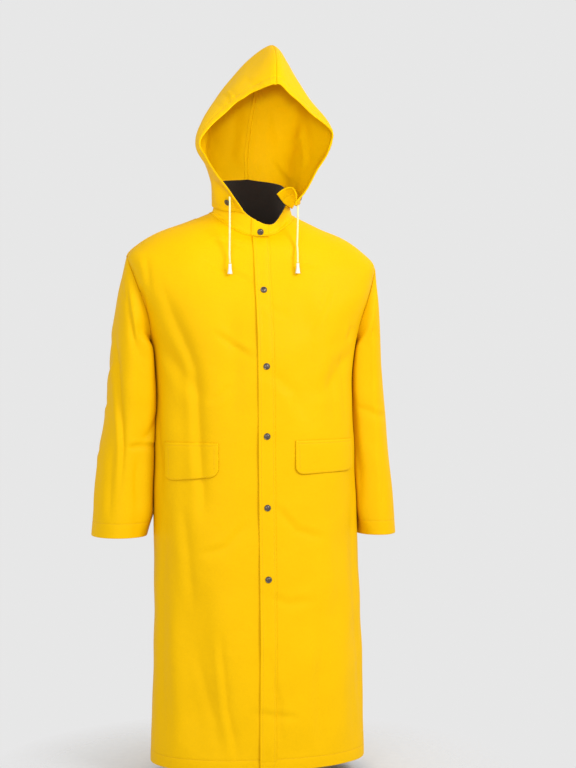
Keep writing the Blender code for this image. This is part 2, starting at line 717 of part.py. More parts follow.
def hanging_cord(run, hood, front):
    """The points of a free cord end, from the hood's casing straight down on to the chest."""
    point, normal = on_lattice(hood, run.column * HOOD_COLUMNS, run.row * HOOD_STEPS)
    start = point + normal * (CORD_RADIUS + run.off_casing)
    points = []
    for i in range(CORD_STEPS + 1):
        share = i / CORD_STEPS
        across = start.x + run.sway * share * share
        height = start.z + (run.end_height - start.z) * share
        back = start.y - CORD_BOW * smooth_step(share, 0.0, CORD_BOW_END)
        if height < CHEST_TOP:
            (chest, _), _, _ = on_front(front, abs(across), height)
            back = min(back, chest.y - CORD_TIP_RADII[1] * (1 + TIP_CLEARANCE * share))
        points.append(Vector((across, back, height)))
    return points


def cord(name, points, material):
    curve = bpy.data.curves.new(name, "CURVE")
    curve.dimensions = "3D"
    curve.bevel_depth = CORD_RADIUS
    curve.bevel_resolution = 2
    curve.use_fill_caps = True
    spline = curve.splines.new("POLY")
    spline.points.add(len(points) - 1)
    for knot, point in zip(spline.points, points):
        knot.co = (*point, 1)
    return add_object(name, curve, material)


def cord_tip(name, top, material):
    mesh = bmesh.new()
    bmesh.ops.create_cone(
        mesh,
        cap_ends=True,
        segments=CORD_TIP_SIDES,
        radius1=CORD_TIP_RADII[1],
        radius2=CORD_TIP_RADII[0],
        depth=CORD_TIP_LENGTH,
        matrix=Matrix.Translation((0, 0, -CORD_TIP_LENGTH / 2)),
    )
    data = bpy.data.meshes.new(name)
    mesh.to_mesh(data)
    mesh.free()
    obj = add_object(name, data, material)
    obj.location = top - Vector((0, 0, 3 * GAP))
    return obj


# ---------------------------------------------------------------------------------------------
# The coat
# ---------------------------------------------------------------------------------------------


def build():
    for obj in list(bpy.data.objects):
        bpy.data.objects.remove(obj, do_unlink=True)
    collection = bpy.data.collections.new(NAME)
    bpy.context.scene.collection.children.link(collection)

    shell = material_named("yellow coated cloth", YELLOW, 0.42)
    ribbed = material_named("dark ribbed facing", DARK, 0.9)
    metal = material_named("gunmetal snap", GUNMETAL, 0.35, 1.0)
    rope = material_named("cream cord", CREAM, 0.7)
    plastic = material_named("white cord tip", WHITE, 0.4)

    fronts = {"right": front_lattice(-1), "left": front_lattice(1)}
    back = back_lattice()
    cloth("front_right", fronts["right"], shell)
    cloth("front_left", fronts["left"], shell)
    cloth("back", back, shell)
    cloth("back_cape", cape_lattice(back), shell, lift=OVERLAY_GAP + WALL)
    cloth("sleeve_right", sleeve_lattice(-1, SLEEVE_RIGHT_SECTIONS), shell, is_tube=True)
    cloth("sleeve_left", sleeve_lattice(1, SLEEVE_LEFT_SECTIONS), shell, is_tube=True)

    cloth("collar", collar_lattice(0.0, 1.0), shell)
    facing_lift = -WALL - GAP
    cloth("collar_facing", collar_lattice(FACING_START, FACING_RISE), ribbed, facing_lift, FACING_WALL)

    left_end = collar_lattice(*TAB_RISE)
    right_end = [line[::-1] for line in left_end]
    tab = strip_lattice(left_end, right_end, range(COLLAR_ROWS + 1))
    cloth("collar_tab", tab, shell, lift=STRIP_LIFT)
    snap("front_snap_1", on_lattice(tab, SNAP_COLUMN, TOP_SNAP_ROW), STRIP_LIFT, metal)

    top_row = len(fronts["left"]) - 1
    fly = strip_lattice(fronts["left"], fronts["right"], [*range(top_row), top_row - FLY_TOP])
    cloth("fly", fly, shell, lift=STRIP_LIFT)
    for number, height in enumerate(FRONT_SNAP_HEIGHTS, start=2):
        place = on_lattice(fly, SNAP_COLUMN, row_at(fly, height, 1))
        snap(f"front_snap_{number}", place, STRIP_LIFT, metal)

    for side, place in POCKET_FLAPS.items():
        cloth(f"pocket_flap_{side}", flap_lattice(fronts[side], place), shell, lift=OVERLAY_GAP + WALL)

    for side, way in (("right", -1), ("left", 1)):
        half = hood_lattice(way)
        cloth(f"hood_{side}", half, shell)
        for where, (column, row) in HOOD_SNAP_PLACES.items():
            place = on_lattice(half, column * HOOD_COLUMNS, row * HOOD_STEPS)
            snap(f"hood_snap_{side}_{where}", place, HOOD_SNAP_LIFT, metal)
        run = next(run for run in CORDS if run.side == way)
        points = hanging_cord(run, half, fronts[side])
        cord(f"cord_{side}", points, rope)
        cord_tip(f"cord_tip_{side}", points[-1], plastic)


build()
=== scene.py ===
import math

import bmesh
import bpy
import numpy as np
from mathutils import Matrix, Vector


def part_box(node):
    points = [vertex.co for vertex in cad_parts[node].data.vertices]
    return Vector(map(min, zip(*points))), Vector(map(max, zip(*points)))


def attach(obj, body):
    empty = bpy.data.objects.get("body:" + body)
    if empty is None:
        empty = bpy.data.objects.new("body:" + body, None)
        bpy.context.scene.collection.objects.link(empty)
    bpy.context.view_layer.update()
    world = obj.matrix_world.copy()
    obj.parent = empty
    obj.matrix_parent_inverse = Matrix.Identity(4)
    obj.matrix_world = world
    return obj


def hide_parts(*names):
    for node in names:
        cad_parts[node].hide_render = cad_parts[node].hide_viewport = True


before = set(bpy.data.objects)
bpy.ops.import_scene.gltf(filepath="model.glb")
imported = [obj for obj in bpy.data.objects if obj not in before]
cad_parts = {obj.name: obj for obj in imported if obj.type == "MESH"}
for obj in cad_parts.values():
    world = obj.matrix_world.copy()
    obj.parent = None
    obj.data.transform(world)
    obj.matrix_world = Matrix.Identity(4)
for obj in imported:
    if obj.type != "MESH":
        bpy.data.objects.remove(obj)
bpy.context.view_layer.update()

# --- Camera, floor and light: a soft studio. The floor is a pale disc that fades out into the
# backdrop, so that only the coat's soft shadow shows on it.

LOOK_AT, TURNED, RAISED, AWAY = Vector((0.079, 0, -0.387)), math.radians(-10), math.radians(2), 4.08
LENS, SENSOR = 85, 36
SQUARE = SENSOR / LENS * AWAY / 768  # side of the drawing squares that creases are placed on, 2.25 mm
GRID_MIDDLE = (288, 384)  # the square straight ahead of the camera
FLOOR_HEIGHT, FLOOR_RADIUS, SPOT_ANGLE = -1.262, 1.5, 0.17


def link_object(name, data):
    obj = bpy.data.objects.new(name, data)
    bpy.context.scene.collection.objects.link(obj)
    return obj


camera = link_object("camera", bpy.data.cameras.new("camera"))
camera.data.lens, camera.data.sensor_width = LENS, SENSOR
towards = Vector((math.sin(TURNED) * math.cos(RAISED), -math.cos(TURNED) * math.cos(RAISED), math.sin(RAISED)))
camera.location = LOOK_AT + towards * AWAY
camera.rotation_euler = towards.to_track_quat("Z", "Y").to_euler()
bpy.context.scene.camera = camera


def lamp(name, kind, place, aim, power, size):
    light = bpy.data.lights.new(name, kind)
    light.energy = power
    if kind == "AREA":
        light.shape, light.size = "DISK", size
    else:
        light.shadow_soft_size, light.spot_size, light.spot_blend = size, SPOT_ANGLE, 1.0
    obj = link_object(name, light)
    obj.location = place
    obj.rotation_euler = (Vector(place) - Vector(aim)).to_track_quat("Z", "Y").to_euler()
    return obj


lamp("key light", "AREA", (2.1, -2.8, 1.6), (0, 0, -0.5), 86, 1.5)
lamp("front light", "AREA", (-1.5, -3.3, 0.4), (0, 0, -0.5), 36, 2.0)
lamp("back light", "AREA", (2.3, 2.3, 1.8), (0, 0, -0.5), 70, 2.4).visible_glossy = False
hood_light = lamp("hood light", "SPOT", (-0.5, -3.2, 0.10), (0.03, 0, 0.17), 370, 0.25)
hood_light.visible_glossy, hood_light.data.color = False, (0.88, 1.0, 0.9)

world = bpy.data.worlds.new("studio")
world.use_nodes = True
world.node_tree.nodes["Background"].inputs["Color"].default_value = (0.80, 0.80, 0.80, 1)
world.node_tree.nodes["Background"].inputs["Strength"].default_value = 1.0
bpy.context.scene.world = world
bpy.context.scene.view_settings.view_transform = "Standard"


def fill(made, values, links):
    """Sets a node's inputs, or links those whose value is another node's output."""
    for key, value in values.items():
        if isinstance(value, bpy.types.NodeSocket):
            links.new(value, made.inputs[key])
        else:
            made.inputs[key].default_value = value


class Look:
    """A material, with short ways to add the nodes that it is made of."""

    def __init__(self, name, roughness, metallic=0.0):
        self.material = bpy.data.materials.new(name)
        self.material.use_nodes = True
        self.tree = self.material.node_tree
        self.finish({"Roughness": roughness, "Metallic": metallic})

    def finish(self, values):
        fill(self.tree.nodes["Principled BSDF"], values, self.tree.links)
        return self.material

    def node(self, kind, values=None, **settings):
        made = self.tree.nodes.new(kind)
        for key, value in settings.items():
            setattr(made, key, value)
        fill(made, values or {}, self.tree.links)
        return made

    def place(self, kind="Object"):
        return self.node("ShaderNodeTexCoord").outputs[kind]

    def noise(self, place, scale, detail=2.0, **more):
        values = {"Vector": place, "Scale": scale, "Detail": detail, **more}
        return self.node("ShaderNodeTexNoise", values).outputs["Fac"]

    def wave(self, place, scale, direction, **more):
        values = {"Vector": place, "Scale": scale, **more}
        return self.node("ShaderNodeTexWave", values, bands_direction=direction).outputs["Fac"]

    def combine(self, operation, first, second):
        return self.node("ShaderNodeMath", {0: first, 1: second}, operation=operation).outputs[0]

    def bump(self, height, strength, distance, **more):
        values = {"Height": height, "Strength": strength, "Distance": distance, **more}
        return self.node("ShaderNodeBump", values).outputs["Normal"]

    def ramp(self, factor, *stops):
        """A colour ramp on a factor; a stop is a place and a colour or a grey."""
        made = self.node("ShaderNodeValToRGB", {"Fac": factor})
        elements = made.color_ramp.elements
        for element, (place, colour) in zip(elements, stops, strict=True):
            element.position = place
            element.color = (*colour, 1) if hasattr(colour, "__len__") else (colour, colour, colour, 1)
        return made.outputs["Color"]


def mesh_object(name, mesh, material, smooth=True):
    """An object from a bmesh, which is freed."""
    data = bpy.data.meshes.new(name)
    mesh.to_mesh(data)
    mesh.free()
    if smooth:
        data.shade_smooth()
    data.materials.append(material)
    return link_object(name, data)


def floor_disc():
    mesh = bmesh.new()
    bmesh.ops.create_circle(mesh, cap_ends=True, radius=FLOOR_RADIUS, segments=96)
    bmesh.ops.translate(mesh, verts=mesh.verts, vec=(0, 0, FLOOR_HEIGHT))
    look = Look("pale floor", 0.8)
    place = look.place()
    flat = look.node("ShaderNodeVectorMath", {0: place, 1: (1, 1, 0)}, operation="MULTIPLY").outputs["Vector"]
    reach = look.node("ShaderNodeVectorMath", {0: flat}, operation="LENGTH").outputs["Value"]
    speckle = look.noise(place, 60.0, 4.0)
    material = look.finish({
        "Base Color": look.ramp(speckle, (0.3, (0.545, 0.545, 0.55)), (0.7, (0.575, 0.575, 0.575))),
        "Alpha": look.ramp(reach, (0.25, 1.0), (0.62, 0.0)),
    })
    obj = mesh_object("floor", mesh, material, smooth=False)


floor_disc()

# --- Drawcord: a braided cream cord, 4 mm thick, whose two free ends come out of the hood's casing
# and hang down on to the chest, each with a moulded white bell tip.

CORD_RADIUS = 0.0020
BRAID_PITCH, BRAID_STEP = 0.0075, 0.0007  # one turn of the braid, and the length of a mesh ring
BELL_TIP = [  # radius, height in mm: a lip round the cord, a waist, and a flared, hollow mouth
    (0, 0), (2.2, 0), (3.1, -0.2), (3.4, -1.0), (3.3, -3.0), (3.5, -8.0), (4.0, -13.0), (4.7, -17.5),
    (5.3, -20.5), (5.4, -21.6), (4.9, -22.0), (4.0, -21.8), (3.4, -20.5), (1.5, -19.8), (0, -19.6),
]
CORD_LINES = {  # (across, back, height) in mm, from the casing to the tip
    "right": [(-66, -89.9, 26.1), (-66, -91.1, 16.9), (-66, -92.7, 7.8),
              (-66.1, -92.9, -1.3), (-66.1, -92.9, -19.6), (-66.2, -92.9, -37.8),
              (-66.3, -92.9, -56.1), (-66.5, -92.9, -74.4), (-66.7, -92.9, -92.6),
              (-66.8, -93.4, -101.7), (-66.9, -97.3, -110.9), (-67, -100.9, -120)],
    "left": [(87.3, -75.9, 13.3), (87.3, -77, 5.1), (87.3, -78.7, -3.1),
             (87.2, -78.9, -11.3), (86.9, -78.9, -27.7), (86.6, -78.9, -44.1),
             (86.1, -78.9, -60.6), (85.4, -79.3, -77), (85.1, -84.4, -85.2),
             (84.7, -89.1, -93.4), (84.3, -92.7, -101.6), (83.3, -99.4, -118)],
}


def through(keys, values, at):
    """A smooth curve through values at rising keys, for any array of places."""
    keys, values = np.asarray(keys, float), np.asarray(values, float)
    at = np.clip(at, keys[0], keys[-1])
    last = len(keys) - 1
    span = np.clip(np.searchsorted(keys, at, side="right") - 1, 0, last - 1)
    low, high = np.maximum(np.arange(last + 1) - 1, 0), np.minimum(np.arange(last + 1) + 1, last)
    many = (...,) + (None,) * (values.ndim - 1)
    slope = (values[high] - values[low]) / (keys[high] - keys[low])[many]
    width = (keys[span + 1] - keys[span])[many]
    share = ((at - keys[span])[many]) / width
    return hermite(values[span], values[span + 1], slope[span] * width, slope[span + 1] * width, share)


def hermite(start, end, start_slope, end_slope, share):
    square, cube = share**2, share**3
    return (
        start * (2 * cube - 3 * square + 1)
        + start_slope * (cube - 2 * square + share)
        + end * (3 * square - 2 * cube)
        + end_slope * (cube - square)
    )


def grid_mesh(name, points, material, around=False):
    """A mesh through rows and columns of points; its uv is in metres along rows and columns."""
    rows, columns = points.shape[:2]
    mesh = bmesh.new()
    bmesh.ops.create_grid(mesh, x_segments=columns - 1, y_segments=rows - 1, size=0.5)
    data = bpy.data.meshes.new(name)
    mesh.to_mesh(data)
    mesh.free()
    flat = np.empty(len(data.vertices) * 3)
    data.vertices.foreach_get("co", flat)
    flat = flat.reshape(-1, 3)
    column = np.rint((flat[:, 0] + 0.5) * (columns - 1)).astype(int)
    row = np.rint((flat[:, 1] + 0.5) * (rows - 1)).astype(int)
    data.vertices.foreach_set("co", points[row, column].ravel())
    across = np.linalg.norm(np.diff(points, axis=1), axis=2)
    along = np.linalg.norm(np.diff(points, axis=0), axis=2)
    u = np.concatenate([np.zeros((rows, 1)), np.cumsum(across, axis=1)], axis=1)
    v = np.concatenate([np.zeros((1, columns)), np.cumsum(along, axis=0)], axis=0)
    uv = np.stack([u, v], axis=2)
    layer = data.uv_layers.new(name="cloth")
    corner = np.empty(len(data.loops), dtype=int)
    data.loops.foreach_get("vertex_index", corner)
    layer.data.foreach_set("uv", uv[row[corner], column[corner]].ravel())
    if around:
        mesh = bmesh.new()
        mesh.from_mesh(data)
        bmesh.ops.remove_doubles(mesh, verts=mesh.verts[:], dist=1e-6)
        mesh.to_mesh(data)
        mesh.free()
    data.shade_smooth()
    data.materials.append(material)
    return link_object(name, data)


def dress(obj, node):
    """The piece takes the place of a solid."""
    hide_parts(node)
    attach(obj, "root")


def cord_material():
    look = Look("cream cord", 0.75)
    place = look.place("UV")
    fuzz, stain = look.noise(place, 2600.0, 3.0), look.noise(place, 60.0)
    return look.finish({
        "Base Color": look.ramp(stain, (0.3, (0.71, 0.65, 0.29)), (0.7, (0.76, 0.71, 0.38))),
        "Normal": look.bump(fuzz, 0.5, 0.0003),
        "Sheen Weight": 0.3,
    })


def tip_material():
    look = Look("white moulded tip", 0.42)
    cloud = look.noise(look.place(), 300.0, 4.0)
    return look.finish({
        "Base Color": look.ramp(cloud, (0.3, (0.72, 0.70, 0.60)), (0.7, (0.77, 0.76, 0.69))),
        "Normal": look.bump(cloud, 0.25, 0.0002),
        "Subsurface Weight": 0.1,
        "Subsurface Radius": (0.004, 0.004, 0.003),
    })


def cord_tube(name, line, material):
    """A tube whose wall carries a braid of two crossing sets of four strands."""
    reach = np.r_[0, np.cumsum(np.linalg.norm(np.diff(line, axis=0), axis=1))]
    at = np.linspace(0, reach[-1], int(reach[-1] / BRAID_STEP))
    middle = through(reach, line, at)
    heading = np.gradient(middle, axis=0)
    heading /= np.linalg.norm(heading, axis=1)[:, None]
    first = np.cross(heading, (0, 1, 0))
    first /= np.linalg.norm(first, axis=1)[:, None]
    second = np.cross(heading, first)
    turn = np.linspace(0, 2 * math.pi, 25)
    winding = at[:, None] * 2 * math.pi / BRAID_PITCH
    over = np.cos(4 * turn + winding) * np.cos(4 * turn - winding)
    ends = np.minimum(1, np.minimum(at, reach[-1] - at) / 0.0008)[:, None] ** 0.5
    radius = CORD_RADIUS * (0.965 + 0.035 * over) * np.maximum(ends, 0.02)
    wall = first[:, None] * np.cos(turn)[None, :, None] + second[:, None] * np.sin(turn)[None, :, None]
    obj = grid_mesh(name, middle[:, None] + wall * radius[..., None], material, around=True)
    return obj, middle, reach[-1]


def turned_mesh(side, rings, steps):
    """A bmesh turned from its side view, a line of (radius, height) in mm that starts and ends on the axis."""
    side = through(np.arange(len(side)), np.array(side) / 1000, np.linspace(0, len(side) - 1, rings))
    mesh = bmesh.new()
    corners = [mesh.verts.new((radius, 0, height)) for radius, height in side]
    edges = [mesh.edges.new(pair) for pair in zip(corners, corners[1:])]
    bmesh.ops.spin(mesh, geom=corners + edges, cent=(0, 0, 0), axis=(0, 0, 1), angle=2 * math.pi, steps=steps,
                   use_merge=True)
    bmesh.ops.remove_doubles(mesh, verts=mesh.verts[:], dist=2e-5)
    bmesh.ops.recalc_face_normals(mesh, faces=mesh.faces[:])
    return mesh


def bell_tip(name, top, material):
    """A moulded tip whose waist has eight pressed grips."""
    mesh = turned_mesh(BELL_TIP, 57, 32)
    for corner in mesh.verts:
        if -0.012 < corner.co.z < -0.004 and math.cos(8 * math.atan2(corner.co.y, corner.co.x)) > 0.3:
            corner.co.xy *= 0.97
    bmesh.ops.translate(mesh, verts=mesh.verts[:], vec=top)
    return mesh_object(name, mesh, material)


braid, moulded = cord_material(), tip_material()
for side, line in CORD_LINES.items():
    line = np.round(np.array(line) / 1000, 4)
    cord, middle, length = cord_tube(f"drawcord_{side}", line, braid)
    tip = bell_tip(f"drawcord_tip_{side}", line[-1] - (0, 0, 0.0009), moulded)
    dress(cord, f"cord_{side}")
    dress(tip, f"cord_tip_{side}")

# --- Fronts: the two cut panels of yellow coated cloth, from centre front to the side seam, armhole
# and shoulder seam, with a turned hem. The rings say how the filled-out body goes round.

CLOTH = 0.0010  # its thickness
BODY_RINGS = np.array([  # height, front height, back height, half width, front, back, corner, centre, twist
    (-1.222, -1.222, -1.222, 0.241, 0.164, 0.139, 2.3, 0.009, -0.050),
    (-1.100, -1.100, -1.100, 0.238, 0.166, 0.126, 2.3, 0.009, -0.050),
    (-0.960, -0.960, -0.960, 0.235, 0.166, 0.126, 2.3, 0.009, -0.045),
    (-0.790, -0.790, -0.790, 0.231, 0.159, 0.128, 2.3, 0.006, -0.030),
    (-0.640, -0.640, -0.640, 0.228, 0.153, 0.130, 2.3, 0.002, -0.010),
    (-0.520, -0.520, -0.520, 0.225, 0.151, 0.124, 2.3, 0.000, 0.000),
    (-0.430, -0.430, -0.430, 0.221, 0.149, 0.121, 2.3, 0.000, 0.000),
    (-0.370, -0.372, -0.370, 0.221, 0.146, 0.131, 2.3, 0.000, 0.000),
    (-0.300, -0.306, -0.300, 0.229, 0.140, 0.142, 2.4, 0.000, 0.000),
    (-0.240, -0.252, -0.244, 0.243, 0.128, 0.144, 2.7, 0.000, 0.000),
    (-0.190, -0.206, -0.196, 0.259, 0.117, 0.142, 2.9, 0.000, 0.000),
    (-0.145, -0.168, -0.154, 0.273, 0.104, 0.138, 2.8, 0.000, 0.000),
    (-0.108, -0.136, -0.118, 0.279, 0.093, 0.132, 2.6, 0.000, 0.000),
    (-0.080, -0.115, -0.090, 0.252, 0.087, 0.126, 2.4, 0.000, 0.000),
    (-0.056, -0.097, -0.064, 0.212, 0.082, 0.119, 2.3, 0.000, 0.000),
    (-0.034, -0.081, -0.040, 0.160, 0.076, 0.110, 2.2, 0.000, 0.000),
    (-0.016, -0.069, -0.018, 0.117, 0.068, 0.099, 2.1, 0.000, 0.000),
    (-0.004, -0.057, 0.000, 0.088, 0.054, 0.087, 2.0, 0.000, 0.000),
])
HEM, ARMPIT, SHOULDER_TIP, NECK = -1.222, -0.295, -0.110, -0.004
ARMHOLE_MIDDLE, ARMHOLE_HALF = (SHOULDER_TIP + ARMPIT) / 2, (SHOULDER_TIP - ARMPIT) / 2
REACH_FRONT, REACH_BACK = math.radians(20), math.radians(28)  # how far the armhole reaches round the body
SEAM = 0.00015  # half the gap at a seam
SEAM_ANGLE = 0.0011  # the same at the side seams, as an angle
WIDEST_BACK = 0.004  # how far the body's widest line lies behind its middle

# Creases by the view that they are placed in. Each has a half width and a depth in mm, a sharpness, the
# rise of the ridge on its left (+) or right (-), and its line: on the front's grid of squares (across,
# down), or in mm (across or back, height).
FRONT_CREASES = {
    "front": [
        (15, 7.0, 1.5, -0.35, (157, 268), (164, 292), (172, 315), (180, 333), (187, 349), (194, 368),
         (197, 400), (199, 440), (203, 492), (204, 540)),
        (36, 7.0, 2.0, 0.0, (160, 310), (176, 370), (184, 430), (188, 520)),
        (9, 3.4, 1.4, 0.4, (226, 269), (240, 277), (258, 287)),
        (9, 3.4, 1.4, 0.4, (210, 330), (226, 340), (242, 351), (257, 361)),
        (15, 3.0, 1.6, -0.3, (262, 368), (280, 380), (296, 394), (306, 422)),
        (6, 2.4, 1.4, 0.4, (209, 238), (224, 241), (236, 245), (248, 251)),
        (8, 2.0, 1.5, -0.3, (198, 256), (212, 264), (231, 272)),
        (5, 1.6, 1.4, 0.4, (268, 231), (279, 233), (287, 232)),
        (5, 2.4, 1.3, 0.4, (141, 286), (143, 298), (145, 310)),
        (8, 2.6, 1.5, -0.4, (145, 252), (148, 274), (150, 292)),
        (8, 4.0, 1.5, -0.4, (154, 362), (155, 384), (156, 410), (158, 442), (160, 470), (161, 505)),
        (22, 4.6, 2.0, 0.0, (228, 300), (236, 360), (232, 430)),
        (16, 4.0, 1.8, 0.3, (342, 330), (334, 380), (336, 440)),
        (6, 3.0, 1.3, -0.4, (353, 324), (351, 333), (348, 342)),
        (8, 2.6, 1.4, -0.4, (346, 340), (343, 360), (344, 400), (346, 430)),
        (24, 4.2, 2.0, 0.0, (304, 290), (311, 350), (304, 430)),
        (10, 2.4, 1.5, 0.4, (334, 276), (322, 310), (306, 336)),
        (9, 1.8, 1.5, -0.4, (284, 250), (300, 262), (322, 268)),
        (9, 2.0, 1.5, 0.4, (232, 384), (218, 398), (206, 404)),
        (9, 2.2, 1.5, -0.4, (262, 302), (276, 312), (292, 316)),
        (14, 4.0, 1.6, -0.3, (181, 492), (188, 550), (192, 620)),
        (46, 12.0, 2.6, 0.0, (186, 560), (192, 620), (197, 680), (204, 770)),
        (10, 4.0, 1.4, -0.4, (220, 625), (222, 655), (226, 693), (228, 713), (235, 745), (238, 775)),
        (14, 2.0, 1.6, -0.3, (193, 630), (196, 658), (205, 693), (216, 724), (220, 770)),
        (10, 2.6, 1.5, 0.4, (270, 650), (273, 678), (279, 712), (280, 755)),
        (9, 2.2, 1.5, 0.4, (250, 713), (276, 716), (304, 719)),
        (14, 3.6, 1.6, -0.3, (322, 620), (321, 663), (319, 690), (323, 760)),
        (26, 5.0, 2.0, 0.0, (336, 480), (343, 560), (338, 660)),
        (10, 2.4, 1.5, 0.4, (270, 500), (296, 530), (330, 540)),
        (10, 2.4, 1.5, -0.4, (250, 520), (226, 548), (196, 556)),
        (11, 2.0, 1.5, 0.4, (262, 596), (290, 604), (318, 600)),
        (16, 4.0, 1.7, 0.0, (168, 560), (164, 630), (170, 760)),
        (14, 3.6, 1.7, 0.0, (356, 600), (352, 670), (356, 760)),
    ],
    "right": [
        (16, 5.0, 1.5, 0.4, (-58, -300), (-95, -345), (-135, -425)),
        (18, 5.5, 1.8, 0.0, (-80, -620), (-70, -900), (-85, -1215)),
    ],
    "left": [
        (16, 5.0, 1.5, -0.4, (-58, -300), (-95, -345), (-135, -425)),
        (18, 5.5, 1.8, 0.0, (-70, -560), (-84, -880), (-70, -1215)),
    ],
}


def smooth_step(value, low, high):
    share = np.clip((value - low) / (high - low), 0.0, 1.0)
    return share * share * (3.0 - 2.0 * share)


def fade(value, low, high):
    return 1 - smooth_step(value, low, high)


def bell(value, middle, width):
    return np.exp(-(((value - middle) / width) ** 2))


def ring_point(ring, angle):
    """Points of rings; angle 0 is centre front and a quarter turn is the wearer's left side."""
    height, front_height, back_height, half_width, front, back, corner, centre, twist = np.moveaxis(ring, -1, 0)
    sine, cosine = np.sin(angle), np.cos(angle)
    reach = (np.abs(sine) ** corner + np.abs(cosine) ** corner) ** (-1.0 / corner)
    side_back = (back - front) / 2 + WIDEST_BACK
    ahead = cosine > 0
    depth = np.where(ahead, front + side_back, back - side_back)
    across = half_width * reach * sine
    back = side_back - depth * reach * cosine
    height_here = height + (np.where(ahead, front_height, back_height) - height) * cosine * cosine
    height_here = height_here - 0.030 * across * smooth_step(height, -0.45, -0.10)
    return np.stack([across + centre - twist * back, back, height_here], axis=-1)


def body_place(angle, height):
    angle, height = np.broadcast_arrays(angle, height)
    return ring_point(through(BODY_RINGS[:, 0], BODY_RINGS, height), angle)


def normal_of(place, along, up, step=0.002):
    across = place(along + step, up) - place(along - step, up)
    rise = place(along, up + step) - place(along, up - step)
    normal = np.cross(across, rise)
    return normal / np.linalg.norm(normal, axis=-1)[..., None]


FACING = {"front": (math.sin(TURNED), -math.cos(TURNED), 0), "inside": (-math.sin(TURNED), math.cos(TURNED), 0),
          "back": (0, 1, 0), "right": (-1, 0, 0), "left": (1, 0, 0)}


def seen(view, points):
    """Where points lie in a view: on the front's grid of squares, in metres, or across and height."""
    if view in ("front", "inside"):
        rel = points - np.array(camera.location)
        ahead = -np.array(towards)
        side = np.array((math.cos(TURNED), math.sin(TURNED), 0))
        top = np.cross(side, ahead)
        scale = AWAY / (rel @ ahead)
        return np.stack([(rel @ side) * scale, (rel @ top) * scale], axis=-1)
    return points[..., [0 if view == "back" else 1, 2]]


def crease_shape(spot, line, width, power, lip):
    """The cross-section of a crease at these spots: 1 at its bottom, with a ridge beside it."""
    lengths = np.r_[0, np.cumsum(np.linalg.norm(np.diff(line, axis=0), axis=1))]
    best = np.full(len(spot), 9.0)
    signed, along = np.zeros(len(spot)), np.zeros(len(spot))
    for k in range(len(line) - 1):
        run = line[k + 1] - line[k]
        rel = spot - line[k]
        share = np.clip(rel @ run / (run @ run), 0, 1)
        off = rel - share[:, None] * run
        distance = np.hypot(off[:, 0], off[:, 1])
        nearer = distance < best
        best = np.where(nearer, distance, best)
        cross = run[0] * rel[:, 1] - run[1] * rel[:, 0]
        signed = np.where(nearer, np.sign(cross) * distance, signed)
        along = np.where(nearer, (lengths[k] + share * (lengths[k + 1] - lengths[k])) / lengths[-1], along)
    shape = np.exp(-((best / width) ** power))
    if lip:
        shape = shape - abs(lip) * np.exp(-((signed / width - math.copysign(1.5, lip)) ** 2) / 0.8)
    return shape * smooth_step(along, -0.02, 0.3) * fade(along, 0.7, 1.02)


def crease_depth(creases, points, normals):
    """How far the creases push these points in."""
    total = np.zeros(points.shape[:-1])
    for view, lines in creases.items():
        plane, shown = seen(view, points), smooth_step(normals @ np.array(FACING[view]), 0.05, 0.5)
        for width, depth, power, lip, *line in lines:
            width, line = width / 1000, np.array(line, float)
            on_grid = view in ("front", "inside")
            line = (line - GRID_MIDDLE) * (SQUARE, -SQUARE) if on_grid else line / 1000
            low, high = line.min(axis=0) - 4 * width, line.max(axis=0) + 4 * width
            near = np.all((plane > low) & (plane < high), axis=-1) & (shown > 0)
            if near.any():
                total[near] += depth / 1000 * crease_shape(plane[near], line, width, power, lip) * shown[near]
    return total


def ripple(points, size, amount, seed):
    """Slow unevenness of a cloth that has hung on its own: a few crossed waves."""
    dice = np.random.default_rng(seed)
    total = np.zeros(points.shape[:-1])
    for _ in range(7):
        heading = dice.normal(size=3) * (1, 1, 0.55)
        heading /= np.linalg.norm(heading) * size * dice.uniform(0.7, 1.6)
        total += np.sin(points @ heading * 2 * math.pi + dice.uniform(0, 6.28))
    return total * amount / 7


def body_dents(points, normals, *tables):
    """How far the body's cloth lies in: its creases, and its own slow ripple."""
    return sum(crease_depth(creases, points, normals) for creases in tables) + ripple(points, 0.12, 0.0030, 4)


def front_surface(angle, up, out):
    """Points and normals of the creased fronts, moved out."""
    safe = np.clip(up, HEM + 0.003, NECK - 0.003)
    points, normals = body_place(angle, up), normal_of(body_place, angle, safe)
    return points + normals * (out - body_dents(points, normals, FRONT_CREASES))[..., None], normals


def armhole(turn, wider=0.0):
    """(angle, height) on the armhole's edge; turn 0 is the shoulder tip and a half turn the armpit."""
    reach = np.where(np.sin(turn) > 0, REACH_FRONT, REACH_BACK) + wider / 0.24
    return math.pi / 2 - reach * np.sin(turn), ARMHOLE_MIDDLE + (ARMHOLE_HALF + wider) * np.cos(turn)


def side_angle(height, is_front):
    """Where a panel ends at the wearer's left at this height: side seam, armhole or shoulder seam."""
    reach = np.sqrt(np.clip(1 - ((height - ARMHOLE_MIDDLE) / ARMHOLE_HALF) ** 2, 0, 1))
    return math.pi / 2 + (-REACH_FRONT * reach - SEAM_ANGLE if is_front else REACH_BACK * reach + SEAM_ANGLE)


